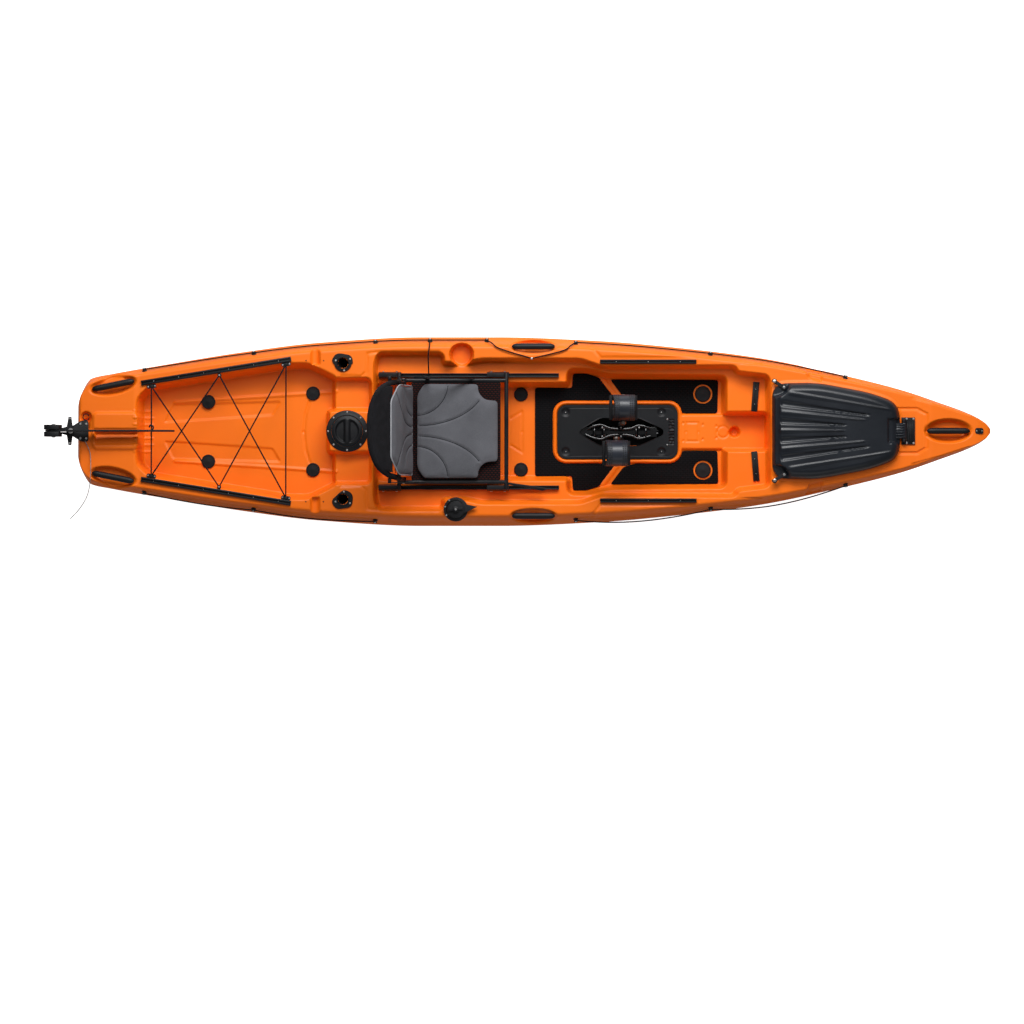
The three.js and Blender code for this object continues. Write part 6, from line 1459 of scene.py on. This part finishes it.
# Steering and rudder: a ridged base on the starboard gunwale with a turning pointer, and at the stern a
# bracket, a swinging head with its yoke and cheeks, and the blade laid forward on the deck.
for node, body, look, edge_size in (
        ("steering_base", "kayak", black, 0.0012), ("steering_lever", "steering_lever", black, 0.0018),
        ("rudder_bracket", "kayak", black, 0.0014), ("rudder_head", "rudder_head", black, 0.0018),
        ("rudder_blade", "rudder_blade", black, 0.0014), ("keel_skid", "kayak", black, 0.001)):
    settle(mended(node + "_moulding", node, look, edge_size), body, "black", node)
steer_x, steer_y = -0.344048, -0.346988
steer_spots = [(steer_x + 0.0488 * math.cos(a), steer_y + 0.0488 * math.sin(a), 0.2812) for a in (2.2, 2.9, 3.7, 4.4)]
screws("steering_screws", "kayak", [spot for spot in steer_spots if spot[1] > -0.385], 0.0042)
lever_dome = turned("lever_cap", [(0, 0), (0.0135, 0), (0.0135, 0.0022), (0.011, 0.0042), (0, 0.0048)], black,
                    steer_x, steer_y, 0.3018, 32)
settle(lever_dome, "steering_lever", "black")
screws("lever_screw", "steering_lever", [(steer_x, steer_y, 0.3065)], 0.0052)
screws("bracket_screws", "kayak", [(x, side * 0.032, 0.2824) for x in (-1.982, -2.008) for side in (1, -1)], 0.0056)
screws("rudder_bolts", "rudder_head", [((-2.118, side * 0.0262, 0.34094), outward(side)) for side in (1, -1)], 0.0085)
screws("yoke_screws", "rudder_head", [(-2.052, side * 0.055, 0.3032) for side in (1, -1)], 0.0046)
head_cap = turned("head_cap", [(0, 0), (0.0115, 0), (0.0115, 0.003), (0.009, 0.0055), (0, 0.006)], bright,
                  -2.046, 0, 0.3182, 32)
settle(head_cap, "rudder_head", "steel")

# Lines and elastic cords: black braided cord round the gunwales on moulded buttons, its drawn-in vee and
# bead at the port grip, the seat's tie, and the crossed elastic net over the tank well.
cord_look = Look("black_braid", Roughness=0.75, Specular_IOR_Level=0.2)
cord_place = cord_look.node("ShaderNodeMapping", {}, cord_look.place("UV"), Scale=(2.0, 260.0, 1.0))
braid = cord_look.node("ShaderNodeTexWave", {"wave_type": "BANDS", "bands_direction": "DIAGONAL"}, cord_place,
                       Scale=1.0)
# The braid is painted lighter on its raised strands and darker between them: painted highlight and shade of the braid.
cord_look.feed(Base_Color=cord_look.mix(braid, linear(5, 5, 6), linear(30, 30, 32)),
               Normal=cord_look.bump(braid, 0.0004))
line_half, line_off, button_share, climb_share = 0.0029, 0.008, 0.95, 0.42
port_buttons = [-0.854, -0.614, -0.347, -0.227, -0.102, 0.093, 0.389, 0.684]
aft_buttons, fore_buttons = port_buttons[:3], port_buttons[5:]


def on_gunwale(x, side, away):
    """A place on the gunwale's outer face and the way out of it."""
    def climb(at):
        return (deck_at(at) - float(seam_at(at))) * climb_share

    def ridge(at):
        return np.array([at, side * float(beam_at(at)) * button_share, float(seam_at(at)) + 0.0004 + climb(at)])

    along = ridge(x + wall) - ridge(x - wall)
    up = np.array([0, -side * float(beam_at(x)) * (1 - button_share), climb(x)])
    out = np.cross(along, up) * -side
    out /= np.linalg.norm(out)
    return ridge(x) + out * away, out


def gunwale_run(shares, side, sag, bulge):
    """A line from button to button, hanging by sag and standing off by bulge between them."""
    path = []
    for a, b in zip(shares, shares[1:]):
        for t in np.linspace(0, 1, 14, endpoint=False):
            p, _ = on_gunwale((a + (b - a) * t) * half_length, side, line_off)
            path.append(p + np.array([0, side * bulge, -sag]) * 4 * t * (1 - t))
    return path + [on_gunwale(shares[-1] * half_length, side, line_off)[0]]


lines = [gunwale_run(port_buttons[:5], 1, 0, 0), gunwale_run(fore_buttons, 1, 0, 0),
         gunwale_run(aft_buttons, -1, 0.01, 0.0073), gunwale_run(fore_buttons, -1, 0.03, 0.022)]
line_top = 0.2704 + line_half + 0.0008
bead_x, bead_y = -0.0071, 0.32198
for share in port_buttons[4:6]:
    x = share * half_length
    lines.append(smooth_path([
        on_gunwale(x, 1, line_off)[0], (x + (bead_x - x) * 0.12, float(beam_at(x)) * 0.925, line_top - 0.002),
        (x + (bead_x - x) * 0.22, float(beam_at(x)) * 0.885, line_top + 0.0025),
        (bead_x, bead_y, line_top + 0.0025)], 8))
tie_x, tie_start = -0.46595, port_buttons[3] * half_length
lines.append(smooth_path([
    on_gunwale(tie_start, 1, line_off)[0], (tie_start - 0.001, 0.391, line_top),
    (tie_start - 0.002, 0.372, line_top + 0.0025), (tie_x, 0.342, line_top + 0.0025), (tie_x, 0.268, 0.2284),
    (tie_x, 0.25, 0.2206)], 8))
for node, picks in (("port", (0, 1, 4, 5, 6)), ("aft_starboard", (2,)), ("fore_starboard", (3,))):
    runs = [tube("run", lines[i], line_half, cord_look.material, 10) for i in picks]
    settle(joined("deck_line_" + node + "_braid", *runs), "kayak", "cord", "deck_line_" + node)
button_profile = [(0, -0.0005), (0.0108, -0.0005), (0.011, 0.0015), (0.0072, 0.0035), (0.0058, 0.0062),
                  (0.0062, 0.0088), (0.0086, 0.0104), (0.0088, 0.012), (0.0068, 0.0132), (0, 0.0136)]
button_spots, button_heads = [], []
for side, shares in ((1, port_buttons), (-1, aft_buttons + fore_buttons)):
    for share in shares:
        place, out = on_gunwale(share * half_length, side, 0)
        turn = tuple(Vector(out).to_track_quat("Z", "Y").to_euler())
        upright = np.array(Vector((0, 0, 1)) @ Euler(turn).to_matrix().transposed())
        button_spots.append((tuple(place), turn, 1))
        button_heads.append((tuple(place + 0.0134 * upright), turn))
line_buttons = repeated("line_buttons", turned("button", button_profile, black, count=32), button_spots, black)
settle(line_buttons, "kayak", "black")
screws("button_screws", "kayak", button_heads, 0.0036)
bead_profile = [(0, 0), (0.0055, 0), (0.0058, 0.002), (0.0048, 0.0085), (0, 0.0096)]
settle(turned("vee_bead", bead_profile, bright, bead_x, bead_y, 0.2706, 24), "kayak", "steel")
net_rows = [(x * half_length, y * half_beam) for x, y in ((-0.8365, 0.4715), (-0.688, 0.588), (-0.542, 0.703))]
net_height = 0.2774
aft_row, middle_row, fore_row = net_rows
net_runs = [(row, row, 1) for row in (aft_row, fore_row)]
for side in (1, -1):
    net_runs += [(aft_row, middle_row, side), (middle_row, fore_row, side)]
cords = []
for i, ((x0, y0), (x1, y1), side) in enumerate(net_runs):
    lift = 0.0033 * (i % 2 if i > 1 else 0)
    run = [(x0 + (x1 - x0) * t, side * y0 + (-side * y1 - side * y0) * t,
            net_height + lift * math.sin(math.pi * t) - 0.0012 * math.sin(math.pi * t)) for t in np.linspace(0, 1, 15)]
    cords.append(tube("cord", run, 0.0031, cord_look.material, 10))
settle(joined("tank_well_net", *cords), "kayak", "cord", "tank_well_bungee")
eye_profile = [(0, 0), (0.0088, 0), (0.0088, 0.0028), (0.005, 0.0045), (0.0044, 0.0085), (0.0062, 0.0105), (0, 0.0112)]
eye_spots = [((x, side * y, 0.2704), (0, 0, 0), 1) for x, y in net_rows for side in (1, -1)]
net_eyes = repeated("net_eyes", turned("eye", eye_profile, black, count=28), eye_spots, black)
settle(net_eyes, "kayak", "black")
screws("eye_rings", "kayak", [(middle_row[0], side * middle_row[1], 0.2816) for side in (1, -1)], 0.0044)
hook = smooth_path([(aft_row[0] + x, y, net_height + z) for x, y, z in (
    (0, -0.018, 0.001), (0, -0.006, 0.001), (0.004, 0.004, 0.002), (0.009, 0.014, 0.002), (0.004, 0.024, 0.002),
    (-0.005, 0.026, 0.002), (-0.009, 0.016, 0.002))], 6)
settle(tube("net_hook", hook, 0.0034, black.material, 14), "kayak", "black")
anchor_turn = 0.16
anchors, anchor_heads = [], []
for x, y in (aft_row, fore_row):
    for side in (1, -1):
        t = side * anchor_turn
        foot = [(x + u * math.cos(t) - v * math.sin(t), side * y + u * math.sin(t) + v * math.cos(t))
                for u, v in rounded_outline(0.042, 0.017, 0.007, 5)]
        anchors.append(slab("anchor", foot, 0.2702, 0.2738, black.material))
        anchor_heads += [(x + u * math.cos(anchor_turn), side * (y + u * math.sin(anchor_turn)), 0.2738)
                         for u in (-0.015, 0.015)]
settle(joined("net_anchors", *anchors), "kayak", "black")
screws("anchor_screws", "kayak", anchor_heads, 0.0038)

# Small deck fittings: the bow's tow eye on its plate, the stern loop, and the rivets of the shelf behind
# the seat.
tow_x = 1.972
tow_deck = deck_at(tow_x)
bow_plate = slab("bow_eye_plate", oblong(tow_x, 0, 0.036, 0.026, 0.009), tow_deck - 0.0004, tow_deck + 0.0034,
                 black.material)
eye_arch = [(tow_x + 0.0001 * math.cos(a), 0.0085 * math.cos(a), tow_deck + 0.003 + 0.0085 * max(math.sin(a), 0))
            for a in np.linspace(0, math.pi, 17)]
eye_loop = tube("bow_eye", eye_arch, 0.0026, black.material, 12)
settle(joined("bow_tow_eye", bow_plate, eye_loop), "kayak", "black")
screws("bow_eye_screws", "kayak", [(tow_x + u, 0, tow_deck + 0.0034) for u in (-0.012, 0.012)], 0.0034)
loop_reach = 0.0135
stern_loop = smooth_path([
    (-1.984 + loop_reach * math.cos(a), 0.062 + loop_reach * math.sin(a), 0.2762 + 0.001 * math.sin(2 * a))
    for a in np.linspace(0.3, 2 * math.pi - 0.3, 14)], 4)
settle(tube("stern_loop", stern_loop, 0.0024, cord_look.material, 10), "kayak", "cord")
screws("shelf_rivets", "kayak", [(x, side * 0.313, 0.2702) for x in (-1.009, -0.931) for side in (1, -1)], 0.003,
       look=black)

# The floor and the light of the studio: a plain white sweep under the boat, a wide key lamp up to port
# that leaves the far walls in shade, and two soft ones that fill them; the background is plain white.
floor_level = -0.33
floor_look = Look("studio_white", Roughness=0.9, Base_Color=linear(214, 214, 213), Emission_Strength=1.0)
floor_look.feed(Emission_Color=floor_look.node("ShaderNodeLightPath", {}, out="Is Camera Ray"))
floor = made_of("floor", [(x, y, floor_level) for x, y in ((-30, -30), (30, -30), (30, 30), (-30, 30))],
                [(0, 1, 2, 3)], floor_look.material, False)
for name, place, size, power in (
        ("lamp_key", (0.4, 3.9, 3.9), (4.6, 1.6), 300.0),
        ("lamp_over", (0.0, 2.6, 5.2), (7.0, 2.0), 110.0),
        ("lamp_fill", (0.5, -4.5, 2.4), (5.0, 2.0), 22.0)):
    light = bpy.data.lights.new(name, "AREA")
    light.shape = "RECTANGLE"
    light.size, light.size_y = size
    light.energy = power
    lamp = shown(name, light)
    lamp.location = place
    lamp.rotation_euler = (-lamp.location).to_track_quat("-Z", "Y").to_euler()
world = bpy.data.worlds.new("studio")
world.use_nodes = True
sky = world.node_tree
sky.nodes["Background"].inputs["Color"].default_value = (1, 1, 1, 1)
sky.nodes["Background"].inputs["Strength"].default_value = 0.16
seen = sky.nodes.new("ShaderNodeBackground")
seen.inputs["Color"].default_value = (1, 1, 1, 1)
which = sky.nodes.new("ShaderNodeMixShader")
ray = sky.nodes.new("ShaderNodeLightPath")
sky.links.new(ray.outputs["Is Camera Ray"], which.inputs["Fac"])
sky.links.new(sky.nodes["Background"].outputs["Background"], which.inputs[1])
sky.links.new(seen.outputs["Background"], which.inputs[2])
sky.links.new(which.outputs["Shader"], sky.nodes["World Output"].inputs["Surface"])
bpy.context.scene.world = world
bpy.context.scene.view_settings.view_transform = "Standard"
